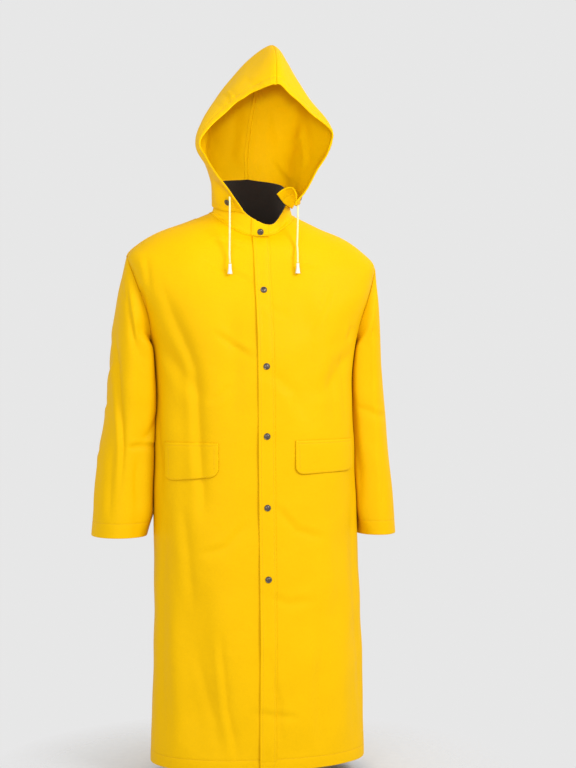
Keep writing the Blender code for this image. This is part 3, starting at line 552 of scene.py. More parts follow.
def at_lengths(place, start, end, up, near, far, count):
    """Shares of the way from start to end, row by row: at set distances from both ends, then even."""
    fine = np.linspace(0, 1, 161)
    along = start[:, None] + (end - start)[:, None] * fine
    points = place(along, np.broadcast_to(up[:, None], along.shape))
    steps = np.linalg.norm(np.diff(points, axis=1), axis=2)
    reach = np.concatenate([np.zeros((len(up), 1)), np.cumsum(steps, axis=1)], axis=1)
    wanted = np.empty((len(up), len(near) + count + len(far)))
    wanted[:, : len(near)] = near
    wanted[:, len(near) + count :] = reach[:, -1:] - np.array(far)[::-1]
    middle = (np.arange(count) + 1) / (count + 1)
    wanted[:, len(near) : len(near) + count] = near[-1] + (reach[:, -1:] - far[-1] - near[-1]) * middle
    share = np.stack([np.interp(wanted[i], reach[i], fine) for i in range(len(up))])
    return start[:, None] + (end - start)[:, None] * share, wanted, reach[:, -1]


def turned_edge(width, radius=0.0012):
    """The lower part of a turned hem, from its inner edge round the fold: (distance from the fold, depth)."""
    inner = [(d, 2 * radius) for d in np.linspace(width, 0.004, 7)]
    bend = [(radius - radius * math.sin(a), radius - radius * math.cos(a)) for a in np.linspace(math.pi, 0, 7)]
    return np.array(inner + bend)


STITCH_ROW = np.array([-0.0030, -0.0014, -0.0006, 0.0, 0.0006, 0.0014, 0.0030])  # grid lines about a sewn line


def pinch(distance, line, depth=0.0005, width=0.0013):
    """The shallow valley that a line of stitches pulls into the cloth."""
    return depth * bell(distance, line, width)


def yellow_material():
    """Coated cloth: a fine pebbled skin over a weave, with slow unevenness, a little cloudy."""
    look = Look("yellow coated cloth", 0.48)
    place = look.place()
    cloud, fine = look.noise(place, 9.0, 5.0, Roughness=0.55), look.noise(place, 240.0, 4.0)
    half = look.combine("MULTIPLY", look.combine("ADD", cloud, fine), 0.5)
    pebble = look.node("ShaderNodeTexVoronoi", {"Vector": place, "Scale": 1100.0}).outputs["Distance"]
    skin = look.bump(pebble, 0.30, 0.00012)
    cloth = look.bump(look.wave(look.place("UV"), 320.0, "DIAGONAL"), 0.10, 0.00008, Normal=skin)
    return look.finish({
        "Base Color": look.ramp(half, (0.36, (0.765, 0.434, 0.0)), (0.64, (0.805, 0.460, 0.0))),
        "Roughness": look.ramp(fine, (0.3, 0.50), (0.7, 0.62)),
        "Normal": look.bump(look.noise(place, 26.0, 3.0, Roughness=0.45), 0.45, 0.0035, Normal=cloth),
        "Specular IOR Level": 0.06,
    })


yellow = yellow_material()


def outward(points, normals):
    """The points, with their columns turned round if the grid would face inwards."""
    rows, columns = points.shape[0] // 2, points.shape[1] // 2
    across = points[rows, columns + 1] - points[rows, columns - 1]
    rise = points[rows + 1, columns] - points[rows - 1, columns]
    return points if np.cross(across, rise) @ normals[rows, columns] > 0 else points[:, ::-1]


def cut_piece(name, node, surface, material=yellow, around=False,
              wall=CLOTH):
    """One cut piece of cloth on a surface of (points, normals), a sheet with a wall, for one solid."""
    obj = grid_mesh(name, outward(*surface), material, around)
    modifier = obj.modifiers.new("wall", "SOLIDIFY")
    modifier.thickness, modifier.offset = wall, -1
    dress(obj, node)
    return obj


STITCHES = []  # every sewn line's stitches go into one piece of thread at the end


def sew(points, normals, pitch=0.0042, length=0.0028, lift=0.0002):
    """Remembers a line of stitches along points on the cloth."""
    reach = np.r_[0, np.cumsum(np.linalg.norm(np.diff(points, axis=0), axis=1))]
    starts = np.arange(pitch, reach[-1] - pitch, pitch)
    for at in starts:
        ends = [np.array([np.interp(at + d, reach, points[:, k]) for k in range(3)]) for d in (0, length)]
        normal = np.array([np.interp(at, reach, normals[:, k]) for k in range(3)])
        STITCHES.append((ends[0] + normal * lift, ends[1] + normal * lift))


def sew_row(points, normals, distance, line, depths):
    """Stitches along the row that lies at a line, on the outer cloth."""
    row = int(np.argmin(np.abs(distance - line) + depths * 100))
    sew(points[row], normals[row])


def sew_columns(points, normals, depths, *columns):
    """Stitches up some columns, from where the turned hem ends."""
    first = int(np.sum(depths > 0))
    for column in columns:
        sew(points[first:, column], normals[first:, column])


HEM_TURN, HEM_LINE, SEAM_LINE = 0.028, 0.025, 0.006  # the turned hem, its stitches, and those beside a seam


def panel_rows():
    """Heights from the turned hem up to the neck, with depths of the turned part."""
    turned = turned_edge(HEM_TURN)
    above = np.r_[0.0025, 0.006, 0.012, HEM_LINE + STITCH_ROW, np.linspace(0.033, ARMPIT - HEM, 190)]
    turn = np.linspace(math.pi, 0, 44)[1:]
    heights = np.r_[HEM + turned[:, 0], HEM + above, ARMHOLE_MIDDLE + ARMHOLE_HALF * np.cos(turn),
                    np.linspace(SHOULDER_TIP, NECK - 0.0002, 26)[1:]]
    depths = np.r_[turned[:, 1], np.zeros(len(heights) - len(turned))]
    return heights, depths


ALLOWANCE = np.array([0.0005, 0.0015, 0.0045, 0.0080])  # columns past the seam line, under the next panel


def hem_dips(up, depths):
    """How far the cloth lies in at the hem: its turned part, the sewn line, and less at its flared edge."""
    return (depths[:, None] + pinch(up - HEM, HEM_LINE) * (depths[:, None] == 0)
            - 0.0012 * smooth_step(HEM + 0.05 - up, 0, 0.05))


def front_panel(side):
    """((points, normals), heights, depths) of one front; side 1 is the wearer's left."""
    heights, depths = panel_rows()
    start, end = np.full(len(heights), SEAM / 0.2), side_angle(heights, True)
    near = [0, 0.004, 0.010, 0.018, 0.026]
    far = [0, 0.0005, 0.0012, 0.0028, 0.0052, 0.0060, 0.0068, 0.0085]
    along, across, length = at_lengths(lambda a, h: body_place(side * a, h), start, end, heights, near, far, 84)
    lapped = smooth_step(heights - HEM, 0.028, 0.05) * fade(math.pi / 2 - end, 0.0012, 0.05)
    past = ALLOWANCE * (0.06 + 0.94 * lapped[:, None])
    along = np.concatenate([along, end[:, None] + past * (along[:, [-1]] - along[:, [-3]]) / 0.0012], axis=1)
    across = np.concatenate([across, length[:, None] + past], axis=1)
    up = np.broadcast_to(heights[:, None], along.shape)
    from_side = length[:, None] - across
    under = 0.0020 * smooth_step(-from_side, -0.0014, 0.0006)
    edge = under * lapped[:, None] + pinch(from_side, 0.0, 0.0006, 0.0018) * (1 - lapped[:, None])
    dips = pinch(from_side, SEAM_LINE, 0.0004) + edge + hem_dips(up, depths)
    return front_surface(side * along, up, -dips), up, depths


for side, name in ((-1, "right"), (1, "left")):
    surface, up, depths = front_panel(side)
    cut_piece(f"{name}_front_panel", f"front_{name}", surface)
    sew_row(*surface, up[:, 0] - HEM, HEM_LINE, depths)
    sew_columns(*surface, depths, -10)

# --- Back: one panel between the side seams, with the same turned hem. Its main creases hang from
# the shoulder blades and from the underarms.

BACK_CREASES = {
    "back": [
        (26, 9.5, 1.8, 0.0, (-105, -330), (-130, -450), (-150, -640)),
        (24, 8.1, 1.8, 0.0, (118, -340), (130, -450), (142, -580)),
        (22, 6.2, 1.8, 0.0, (-36, -420), (-48, -600), (-60, -780)),
        (30, 12.2, 1.9, 0.0, (98, -880), (108, -1050), (120, -1226)),
        (30, 10.8, 1.9, 0.0, (-122, -840), (-116, -1020), (-110, -1226)),
        (12, 3.8, 1.4, -0.5, (-190, -305), (-155, -360), (-120, -440)),
        (12, 3.8, 1.4, 0.5, (190, -305), (160, -350), (118, -410)),
        (9, 2.4, 1.4, -0.5, (-200, -330), (-176, -400), (-170, -500)),
        (9, 2.4, 1.4, 0.5, (196, -340), (178, -400), (176, -480)),
        (14, 3.5, 1.5, 0.4, (-90, -205), (-30, -240), (40, -232)),
        (10, 2.2, 1.5, -0.4, (20, -300), (70, -325), (110, -315)),
        (16, 4.3, 1.6, 0.3, (20, -820), (12, -1000), (20, -1226)),
        (18, 4.6, 1.7, -0.3, (-50, -960), (-40, -1100), (-46, -1226)),
        (14, 4.1, 1.6, 0.0, (176, -640), (182, -900), (176, -1226)),
        (14, 4.1, 1.6, 0.0, (-178, -700), (-184, -950), (-180, -1226)),
        (10, 2.4, 1.4, 0.4, (-110, -640), (-60, -690), (10, -700)),
        (9, 1.9, 1.4, -0.4, (60, -600), (110, -630), (150, -625)),
    ],
    "right": [
        (16, 4.9, 1.5, 0.0, (40, -420), (44, -620), (40, -800)),
    ],
    "left": [
        (16, 4.9, 1.5, 0.0, (50, -420), (54, -600), (60, -780)),
    ],
}


def back_surface(along, up, depths):
    """Points and normals of the creased back, moved in."""
    points, normals = body_place(along, up), normal_of(body_place, along, up)
    return points - normals * (body_dents(points, normals, BACK_CREASES) + depths)[..., None], normals


def back_panel():
    heights, depths = panel_rows()
    start = side_angle(heights, False)
    edge = [0, 0.0012, 0.0028, 0.0052, 0.0060, 0.0068, 0.0085]
    along, across, length = at_lengths(body_place, start, 2 * math.pi - start, heights, edge, edge, 112)
    up = np.broadcast_to(heights[:, None], along.shape)
    from_side = np.minimum(across, length[:, None] - across)
    dips = pinch(from_side, SEAM_LINE, 0.0004) + pinch(from_side, 0.0, 0.0006, 0.0018) + hem_dips(up, depths)
    return back_surface(along, up, dips), up, depths


surface, up, depths = back_panel()
back = cut_piece("back_panel", "back", surface)
sew_row(*surface, up[:, 0] - HEM, HEM_LINE, depths)
sew_columns(*surface, depths, 4, -5)

# --- Back cape: a yoke of the same cloth over the upper back. It is sewn in along the armholes and
# under the collar, and its turned lower edge hangs free and a little wavy.

CAPE_LOW, CAPE_HIGH, CAPE_LIFT, CAPE_TURN, CAPE_LINE = -0.190, -0.0200, 0.0027, 0.020, 0.017


def back_cape():
    turned = turned_edge(CAPE_TURN, 0.0010)
    above = np.r_[0.0025, 0.006, CAPE_LINE + STITCH_ROW, np.linspace(0.024, CAPE_HIGH - CAPE_LOW, 40)]
    heights = CAPE_LOW + np.r_[turned[:, 0], above]
    depths = np.r_[turned[:, 1], np.zeros(len(above))]
    start = side_angle(heights, False) + 0.026
    edge = [0, 0.0015, 0.0045, 0.0052, 0.0060, 0.0080]
    along, across, length = at_lengths(body_place, start, 2 * math.pi - start, heights, edge, edge, 120)
    up = np.broadcast_to(heights[:, None], along.shape)
    from_side = np.minimum(across, length[:, None] - across)
    loose = smooth_step(CAPE_LOW + 0.12 - up, 0, 0.12) * smooth_step(from_side, 0, 0.08)
    wave = 0.0026 + 0.0020 * np.sin(across * 31 + 0.6) + 0.0012 * np.sin(across * 67 + 1.9)
    lift = CAPE_LIFT * (0.5 + 0.5 * smooth_step(from_side, 0.004, 0.035)) + loose * wave
    dips = pinch(from_side, 0.0052, 0.0004) + pinch(up - CAPE_LOW, CAPE_LINE) * (depths[:, None] == 0)
    dips = dips + depths[:, None] - lift + 0.0008 * smooth_step(0.002 - from_side, 0, 0.002)
    return back_surface(along, up, dips), up, depths


surface, up, depths = back_cape()
cut_piece("back_cape_yoke", "back_cape", surface)
sew_row(*surface, up[:, 0] - CAPE_LOW, CAPE_LINE, depths)
sew_columns(*surface, depths, 3, -4)

# --- Sleeves: tubes of the same cloth, set into the armholes, with plain turned cuffs. Each section
# gives its outer and inner point and how far it reaches to the front and the back.

SLEEVES = {  # in mm: outer, outer height, inner, inner height, front, back
    "right": (-1, [
        (296, -168, 233, -306, 50, 100), (309, -240, 230, -334, 52, 114),
        (317, -320, 226.2, -368, 52, 124), (323, -395, 222.5, -412, 50, 128),
        (330, -460, 220, -464, 47, 126), (346, -545, 227, -545, 52, 118),
        (356, -635, 232, -635, 54, 110), (362, -722, 239, -722, 56, 100),
    ]),
    "left": (1, [
        (287, -185, 233, -312, 48, 100), (293, -250, 230, -338, 46, 114),
        (298, -330, 226.2, -370, 44, 124), (303, -400, 222.5, -414, 42, 130),
        (309, -465, 224, -466, 42, 130), (316, -550, 229, -550, 46, 124),
        (325, -640, 232, -640, 50, 116), (331, -726, 236, -726, 52, 106),
    ]),
}
SLEEVE_CREASES = {
    "front": [
        (6, 4.8, 1.5, 0.4, (125, 268), (127, 294), (129, 312), (133, 335), (139, 357), (142, 376)),
        (5, 3.0, 1.5, 0.4, (120, 272), (122, 289), (124, 302)),
        (7, 5.5, 1.5, -0.5, (114, 288), (113, 322), (114, 342), (116, 360), (118, 381), (120, 408),
         (122, 425), (123, 447), (122, 470), (119, 500)),
        (6, 1.8, 1.3, 0.4, (109, 362), (114, 363), (121, 365)),
        (7, 5.0, 1.4, 0.3, (154, 408), (147, 425), (144, 432), (138, 446)),
        (6, 5.0, 1.3, 0.4, (126, 448), (138, 446), (156, 444)),
        (9, 2.6, 1.4, -0.4, (113, 440), (110, 480), (109, 525)),
        (8, 2.6, 1.4, 0.4, (138, 452), (136, 480), (138, 515)),
        (9, 4.0, 1.6, 0.3, (358, 340), (357, 389), (361, 422), (366, 472), (368, 525)),
        (8, 2.8, 1.4, 0.4, (373, 266), (364, 276), (361, 292)),
        (12, 3.6, 1.5, -0.4, (377, 300), (371, 350), (370, 400)),
        (8, 2.6, 1.4, 0.4, (362, 404), (374, 414), (392, 418)),
        (10, 2.8, 1.4, -0.4, (380, 436), (384, 476), (381, 522)),
    ],
    "right": [
        (16, 3.6, 1.5, 0.4, (118, -372), (60, -360), (-10, -318)),
        (16, 3.4, 1.6, 0.0, (60, -430), (74, -560), (84, -700)),
        (11, 2.2, 1.4, 0.5, (-50, -280), (-70, -250), (-100, -215)),
        (12, 2.2, 1.4, -0.5, (126, -340), (80, -320), (20, -262)),
        (10, 2.4, 1.4, 0.5, (118, -430), (70, -436), (20, -420)),
        (10, 2.4, 1.4, -0.5, (20, -480), (36, -600), (24, -700)),
        (9, 1.8, 1.4, 0.5, (100, -520), (60, -540), (20, -526)),
    ],
    "left": [
        (16, 3.6, 1.5, -0.4, (118, -376), (60, -362), (-4, -322)),
        (16, 3.4, 1.6, 0.0, (52, -440), (66, -570), (74, -700)),
        (11, 2.2, 1.4, -0.5, (-40, -290), (-60, -255), (-90, -220)),
        (12, 2.2, 1.4, 0.5, (126, -344), (84, -318), (24, -270)),
        (10, 2.4, 1.4, -0.5, (120, -440), (70, -440), (20, -430)),
        (10, 2.4, 1.4, 0.5, (14, -480), (30, -590), (20, -700)),
    ],
    "back": [
        (14, 4.6, 1.6, 0.3, (-286, -300), (-300, -460), (-304, -660)),
        (14, 4.6, 1.6, -0.3, (272, -300), (278, -450), (286, -660)),
        (9, 2.6, 1.4, 0.5, (-252, -330), (-286, -390), (-318, -400)),
        (9, 2.6, 1.4, -0.5, (246, -330), (270, -380), (296, -392)),
        (9, 2.2, 1.4, 0.5, (-244, -430), (-280, -452), (-320, -440)),
        (9, 2.2, 1.4, -0.5, (240, -430), (268, -448), (300, -440)),
    ],
}
CUFF_TURN, CUFF_LINE, SLEEVE_LENGTH = 0.026, 0.023, 0.50
SLEEVE_ALLOWANCE = ((0.0002, 0.0022), (0.0015, 0.0032), (0.0060, 0.0033))  # past the armhole, inside the body


def along_chain(chain, share):
    """A smooth curve through evenly keyed points; the chain has one more point beyond each end."""
    spans = chain.shape[0] - 3
    place = np.clip(share * spans, 0, spans - 1e-9)
    span = place.astype(int)

    def pick(k):
        return np.take_along_axis(chain, (span + k)[None, ..., None], axis=0)[0]

    first, start, end, last = (pick(k) for k in range(4))
    return hermite(start, end, (end - first) / 2, (last - start) / 2, (place - span)[..., None])


def sleeve_place(side, sections):
    sections = np.array(sections) / 1000

    def place(turn, share):
        turn, share = np.broadcast_arrays(turn, share)
        sine, cosine = np.sin(turn), np.cos(turn)
        angle, height = armhole(turn)
        points = [body_place(side * angle, height)]
        for outer, outer_height, inner, inner_height, front, back in sections:
            across = side * ((outer + inner) / 2 + (outer - inner) / 2 * cosine)
            level = (outer_height + inner_height) / 2 + (outer_height - inner_height) / 2 * cosine
            points.append(np.stack([across, (back - front) / 2 - (back + front) / 2 * sine, level], axis=-1))
        chain = np.stack([points[0] * 2 - points[1], *points, points[-1] * 2 - points[-2]])
        return along_chain(chain, share)

    return place


def beside_body(side, points, normals):
    """The inner side of a hanging sleeve settles against the coat's side, with a hair between them."""
    height = np.clip(points[..., 2] + 0.006 * smooth_step(points[..., 2], -0.45, -0.20), HEM, NECK)
    ring = through(BODY_RINGS[:, 0], BODY_RINGS, height)
    half_width, front, back, corner, centre, twist = np.moveaxis(ring[..., 3:], -1, 0)
    middle = (back - front) / 2 + WIDEST_BACK
    off = points[..., 1] - middle
    off = np.where(off < 0, -off / (front + middle), off / (back - middle))
    across = half_width * np.clip(1 - np.minimum(off, 0.999) ** corner, 0, 1) ** (1 / corner)
    wall = np.stack([side * across + centre - twist * points[..., 1], points[..., 1], points[..., 2]], axis=-1)
    facing = np.zeros_like(normals) + (side, 0, 0)
    dents = body_dents(wall, facing, FRONT_CREASES, BACK_CREASES)
    gap = side * (points[..., 0] - wall[..., 0]) + dents - 0.0016
    settled = np.where(gap < 0, 0, gap * smooth_step(gap, 0.010, 0.050))
    share = smooth_step(-side * normals[..., 0], -0.05, 0.35) * smooth_step(points[..., 2], -0.74, -0.66)
    share = share * fade(points[..., 2], -0.308, -0.258)
    moved = points.copy()
    moved[..., 0] += side * (settled - gap) * share
    return moved


def sleeve(name):
    side, sections = SLEEVES[name]
    place = sleeve_place(side, sections)
    turned = turned_edge(CUFF_TURN)
    above = np.r_[0.0025, 0.006, 0.012, CUFF_LINE + STITCH_ROW]
    share = np.r_[1 - turned[:, 0] / SLEEVE_LENGTH, 1 - above / SLEEVE_LENGTH,
                  np.linspace(1 - 0.031 / SLEEVE_LENGTH, 0.014, 126), 0.009, 0.005, 0.003, 0.0014]
    depths = np.r_[turned[:, 1], np.zeros(len(share) - len(turned))]
    turn = np.r_[np.linspace(-math.pi, 0, 66)[:-1], np.linspace(0, math.pi, 116)]
    turn, share = np.meshgrid(turn, share)
    safe = np.clip(share, 0.015, 0.985)
    normals = normal_of(place, turn, safe, 0.01) * side
    points = place(turn, share)
    push = crease_depth(SLEEVE_CREASES, points, normals) * smooth_step(share, 0.02, 0.2)
    push = push + ripple(points, 0.11, 0.0024, 21 + side) * smooth_step(share, 0.0, 0.1)
    from_cuff = (1 - share) * SLEEVE_LENGTH
    push = push + pinch(from_cuff, CUFF_LINE) * (depths[:, None] == 0) + depths[:, None]
    lift = 0.0012 * fade(share, 0.0, 0.1) - 0.0030 * fade(share, 0.0, 0.007)
    points = points + normals * (lift - push)[..., None]
    points = beside_body(side, points, normals)
    for wider, deep in SLEEVE_ALLOWANCE:
        angle, height = armhole(turn[0], wider)
        inner = normal_of(body_place, side * angle, height)
        points = np.concatenate([points, (body_place(side * angle, height) - inner * deep)[None]])
        normals = np.concatenate([normals, inner[None]])
    points[:, -1], normals[:, -1] = points[:, 0], normals[:, 0]
    return (points, normals), from_cuff, depths


for name in SLEEVES:
    surface, from_cuff, depths = sleeve(name)
    cut_piece(f"{name}_sleeve", f"sleeve_{name}", surface,
              around=True)
    sew_row(*surface, from_cuff[:, 0], CUFF_LINE, depths)

# --- Collar: a stand collar, coated cloth outside and a ribbed band inside whose near-black colour is painted shade of the hollow neck; it dips in front.
# Its left end laps over the right one as a tab with the top snap.

COLLAR_HALF_WIDTH, COLLAR_START = 0.082, 0.0147  # at its top, and the angle at which its ends meet
COLLAR_TOP = np.array([  # degrees from centre front towards the wearer's left, height
    (-180, 0.076), (-120, 0.068), (-90, 0.055), (-60, 0.042), (-35, 0.018), (-15, -0.011), (0, -0.024),
    (14, -0.032), (28, -0.030), (45, -0.008), (65, 0.018), (90, 0.042), (120, 0.062), (180, 0.076),
])
COLLAR_CREASES = {
    "front": [
        (6, 1.4, 1.3, 0.5, (207, 219), (206, 226), (207, 234)),
        (8, 1.6, 1.5, -0.4, (214, 214), (224, 222), (236, 226)),
        (7, 1.2, 1.5, 0.4, (282, 218), (290, 224), (300, 226)),
    ],
    "back": [
        (12, 1.6, 1.5, 0.4, (-50, 20), (0, 12), (50, 22)),
    ],
}


def collar_place(angle, rise):
    angle, rise = np.broadcast_arrays(angle, rise)
    foot = ring_point(np.broadcast_to(BODY_RINGS[-1], (*angle.shape, BODY_RINGS.shape[1])), angle)
    sine, cosine = np.sin(angle), np.cos(angle)
    degrees = np.degrees(np.arctan2(sine, cosine))
    height = through(COLLAR_TOP[:, 0], COLLAR_TOP[:, 1], degrees)
    top = np.stack([COLLAR_HALF_WIDTH * sine, 0.01375 - 0.07075 * cosine, height], axis=-1)
    return foot + (top - foot) * rise[..., None]


def collar_surface(angle, rise, out):
    normals = normal_of(collar_place, angle, np.full(np.shape(angle), 0.5), 0.02)
    points = collar_place(angle, rise)
    push = crease_depth(COLLAR_CREASES, points, normals) + ripple(points, 0.05, 0.0012, 31)
    return points + normals * (out - push)[..., None], normals


def round_neck(angle, rise, out, lap):
    """Rows that lie on the shoulders, turn up round the neck seam in a soft bend, and go up the collar."""
    step = np.linspace(0.12, 1.0, 6)[:, None, None]

    def on_body(drop):
        up = np.full(angle.shape, NECK - drop)
        ahead = (np.cos(angle) > 0)[:, None]
        front, back = front_surface(angle, up, lap)[0], back_surface(angle, up, -lap)[0]
        return np.where(ahead, front, back)

    along = normal_of(body_place, angle, np.full(angle.shape, NECK - 0.003))
    corner, upward = collar_surface(angle, np.zeros(angle.shape), 0.0)
    corner = corner + lap * (along + upward) / (1 + np.sum(along * upward, axis=-1))[:, None]
    start, (end, _) = on_body(0.0012), collar_surface(angle, np.full(angle.shape, rise[0]), lap)
    bend = start * (1 - step) ** 2 + corner * 2 * step * (1 - step) + end * step**2
    turned, up = np.meshgrid(angle, rise[1:])
    points, normals = collar_surface(turned, up, out(up))
    lower = np.concatenate([on_body(0.0036)[None], on_body(0.0024)[None], start[None], bend])
    return np.concatenate([lower, points]), np.concatenate([np.broadcast_to(upward, lower.shape), normals])


COLLAR_LAP = 0.00125  # how far the collar's foot stands off the shoulders


def collar_out(rise):
    foot = COLLAR_LAP * fade(rise, 0.10, 0.25)
    return foot - 0.0007 * smooth_step(rise, 0.96, 1.0) - pinch(rise, 0.87, 0.0004, 0.02)


rise = np.r_[0.10, 0.15, np.linspace(0.20, 0.93, 18), 0.955, 0.975, 0.99, 1.0]
surface = round_neck(np.linspace(COLLAR_START, 2 * math.pi - COLLAR_START, 160), rise, collar_out, COLLAR_LAP)
collar = cut_piece("collar_stand", "collar", surface)
sew(surface[0][-6], surface[1][-6], lift=0.0003)


def neck_shade_material():
    """Painted shade of the hollow neck: near-black, with bumped ribs that run up the collar and a soft nap."""
    look = Look("dark ribbed facing", 0.92)
    rib = look.wave(look.place("UV"), 130.0, "X", Distortion=0.4)
    nap = look.noise(look.place(), 900.0, 4.0)
    mix = look.combine("MULTIPLY", rib, nap)
    return look.finish({
        # near-black colour: painted shade of the hollow inside the neck
        "Base Color": look.ramp(mix, (0.1, (0.010, 0.007, 0.006)), (0.6, (0.030, 0.022, 0.019))),
        "Normal": look.bump(nap, 0.5, 0.0003, Normal=look.bump(rib, 0.6, 0.0006)),
        "Sheen Weight": 0.25,
        "Sheen Roughness": 0.5,
        "Specular IOR Level": 0.2,
    })


# The band inside the collar, reaching down below its foot, is painted shade: a near-black sheet where the neck
# is hollow.
angle = np.linspace(COLLAR_START, 2 * math.pi - COLLAR_START, 220)
surface = collar_surface(*np.meshgrid(angle, np.linspace(-0.30, 1.012, 30)), -0.0021)
cut_piece("collar_facing_shade_band", "collar_facing", surface,
          material=neck_shade_material(), wall=0.0010)

# The tab and the fly below it stand between the same two edges, a little proud of the cloth.
STRIP_RIGHT, STRIP_LEFT, STRIP_LIFT = -0.0125, 0.0245, 0.00225


def collar_tab():
    """The tab over the front gap, a little padded, rounded at the top, that runs down to meet the fly."""
    across = np.linspace(STRIP_RIGHT, STRIP_LEFT, 36)
    rise = np.r_[0.10, 0.14, np.linspace(0.18, 0.95, 20), 0.97]
    reach = across - STRIP_RIGHT

    def out(rise):
        edge = np.minimum(reach[None], 0.045 * (1.0 - rise))
        soft = 0.0011 * smooth_step(reach, 0.025, 0.037)[None]
        padded = STRIP_LIFT + 0.0005 * smooth_step(edge, 0, 0.006)
        return padded - 0.0006 * fade(edge, 0, 0.0012) - soft

    return round_neck(np.arcsin(across / COLLAR_HALF_WIDTH), rise, out, 0.0025)


surface = collar_tab()
cut_piece("collar_tab_end", "collar_tab", surface)
sew(surface[0][6:, 4], surface[1][6:, 4], pitch=0.0036)

# --- Fly: the storm flap down the centre front that carries the snaps. It is sewn down on the
# wearer's left and its free right edge stands a little proud.

FLY_TOP, FLY_TURN, FLY_HEM_LINE = -0.0085, 0.015, 0.020
FLY_LINES = (0.0060, 0.0325)  # its sewn lines, from its right edge


def on_front(across, height):
    """(angle, ring height) of the body's surface at a place straight ahead."""
    across, height = np.broadcast_arrays(across, height)
    angle, up = np.arcsin(np.clip(across / 0.25, -0.95, 0.95)), height.astype(float).copy()
    for _ in range(8):
        point = body_place(angle, up)
        turn = (body_place(angle + 0.002, up) - point)[..., 0] / 0.002
        rise = (body_place(angle, up + 0.002) - point)[..., 2] / 0.002
        angle = angle + np.clip((across - point[..., 0]) / turn, -0.2, 0.2)
        up = np.clip(up + np.clip((height - point[..., 2]) / rise, -0.05, 0.05), HEM - 0.01, NECK)
    return angle, up


def fly_strip():
    width = STRIP_LEFT - STRIP_RIGHT
    fold = turned_edge(FLY_TURN, 0.00105)
    across = np.r_[fold[:, 0], 0.0022, 0.0038, FLY_LINES[0], np.linspace(0.009, 0.029, 12),
                   0.0312, FLY_LINES[1], 0.0338, 0.0356, width]
    under = np.r_[fold[:, 1], np.zeros(len(across) - len(fold))]
    heights = np.r_[HEM + np.array((0.0006, 0.0018, 0.004, 0.008)), HEM + FLY_HEM_LINE + STITCH_ROW,
                    np.linspace(HEM + 0.03, FLY_TOP, 250)]
    half_width = through(BODY_RINGS[:, 0], BODY_RINGS[:, 3], heights)
    angle = np.arcsin((STRIP_RIGHT + across[None]) / half_width[:, None])
    up = np.broadcast_to(heights[:, None], angle.shape)
    wander = 0.0009 * np.sin(heights * 19) + 0.0007 * np.sin(heights * 47 + 1)
    free = smooth_step(0.013 - across, 0, 0.013)[None] * (0.0019 + wander[:, None])
    sewn = pinch(across, FLY_LINES[1], 0.0004) + 0.0011 * smooth_step(across, width - 0.012, width)
    lines = pinch(up - HEM, FLY_HEM_LINE, 0.0004) + 0.0004 * fade(up - HEM, 0, 0.003)
    out = STRIP_LIFT + free - sewn[None] - lines - under[None] + 0.0004 * np.sin(math.pi * across / width)[None]
    return front_surface(angle, up, out), across, under


surface, across, under = fly_strip()
cut_piece("fly_strip", "fly", surface)
for line in FLY_LINES:
    column = int(np.argmin(np.abs(across - line) + under * 100))
    sew(surface[0][:, column], surface[1][:, column])

# --- Pocket flaps: two layers of cloth with rounded lower corners, sewn to the front along the top
# and lying over the pocket mouths.

FLAPS = {  # side, inner, outer, top, bottom at the inner and at the outer end
    "right": (-1, 0.098, 0.209, -0.509, -0.582, -0.594),
    "left": (1, 0.069, 0.209, -0.505, -0.579, -0.575),
}
FLAP_CORNER, FLAP_DROP = 0.018, 0.075


def pocket_flap(side, inner, outer, top, low_inner, low_outer):
    length = outer - inner
    ease = np.array([0, 0.05, 0.15, 0.3, 0.5, 0.75, 1.0]) * FLAP_CORNER
    reach = np.r_[ease, np.linspace(FLAP_CORNER, length - FLAP_CORNER, 32)[1:-1], length - ease[::-1]]
    share = reach / length
    short = np.maximum(0, FLAP_CORNER - np.minimum(reach, length - reach))
    bottom = low_inner + (low_outer - low_inner) * share + FLAP_CORNER - np.sqrt(FLAP_CORNER**2 - short**2)
    step = np.r_[0, 0.015, 0.05, 0.07, 0.085, 0.1, 0.12, np.linspace(0.16, 0.88, 14),
                 0.92, 0.95, 0.97, 0.985, 1.0]
    height = top + (bottom - top)[None] * step[:, None]
    across = np.broadcast_to(inner + reach, height.shape)
    edge = np.minimum(np.minimum(reach, length - reach)[None], (1 - step)[:, None] * FLAP_DROP)
    angle, up = on_front(side * across, height)
    belly = 0.0014 * np.sin(math.pi * share)[None] * np.sin(math.pi * step**0.8)[:, None]
    stand = 0.0016 * smooth_step(step, 0.3, 1.0)[:, None] * (0.5 + 0.5 * np.sin(share * 7 + side))[None]
    out = 0.0033 + belly + stand - 0.0013 * fade(edge, 0, 0.0018) - pinch(edge, 0.0062, 0.0004)
    out = out - 0.0012 * fade(step, 0, 0.05)[:, None] - pinch(step * FLAP_DROP, 0.0064)[:, None]
    return front_surface(angle, up, out)


for name, place in FLAPS.items():
    points, normals = pocket_flap(*place)
    cut_piece(f"{name}_pocket_flap", f"pocket_flap_{name}", (points, normals),
              wall=0.0014)
    for row, ends in ((4, 1), (-4, 3)):
        sew(points[row, ends:-ends], normals[row, ends:-ends])
    for column in (4, -5):
        sew(points[5:-4, column], normals[5:-4, column])

# --- Hood: two halves of coated cloth, joined in a seam over the crown, with a casing turned in round
# the face for the drawcord, and a sewn hem below. Its left lower front corner curls inwards.

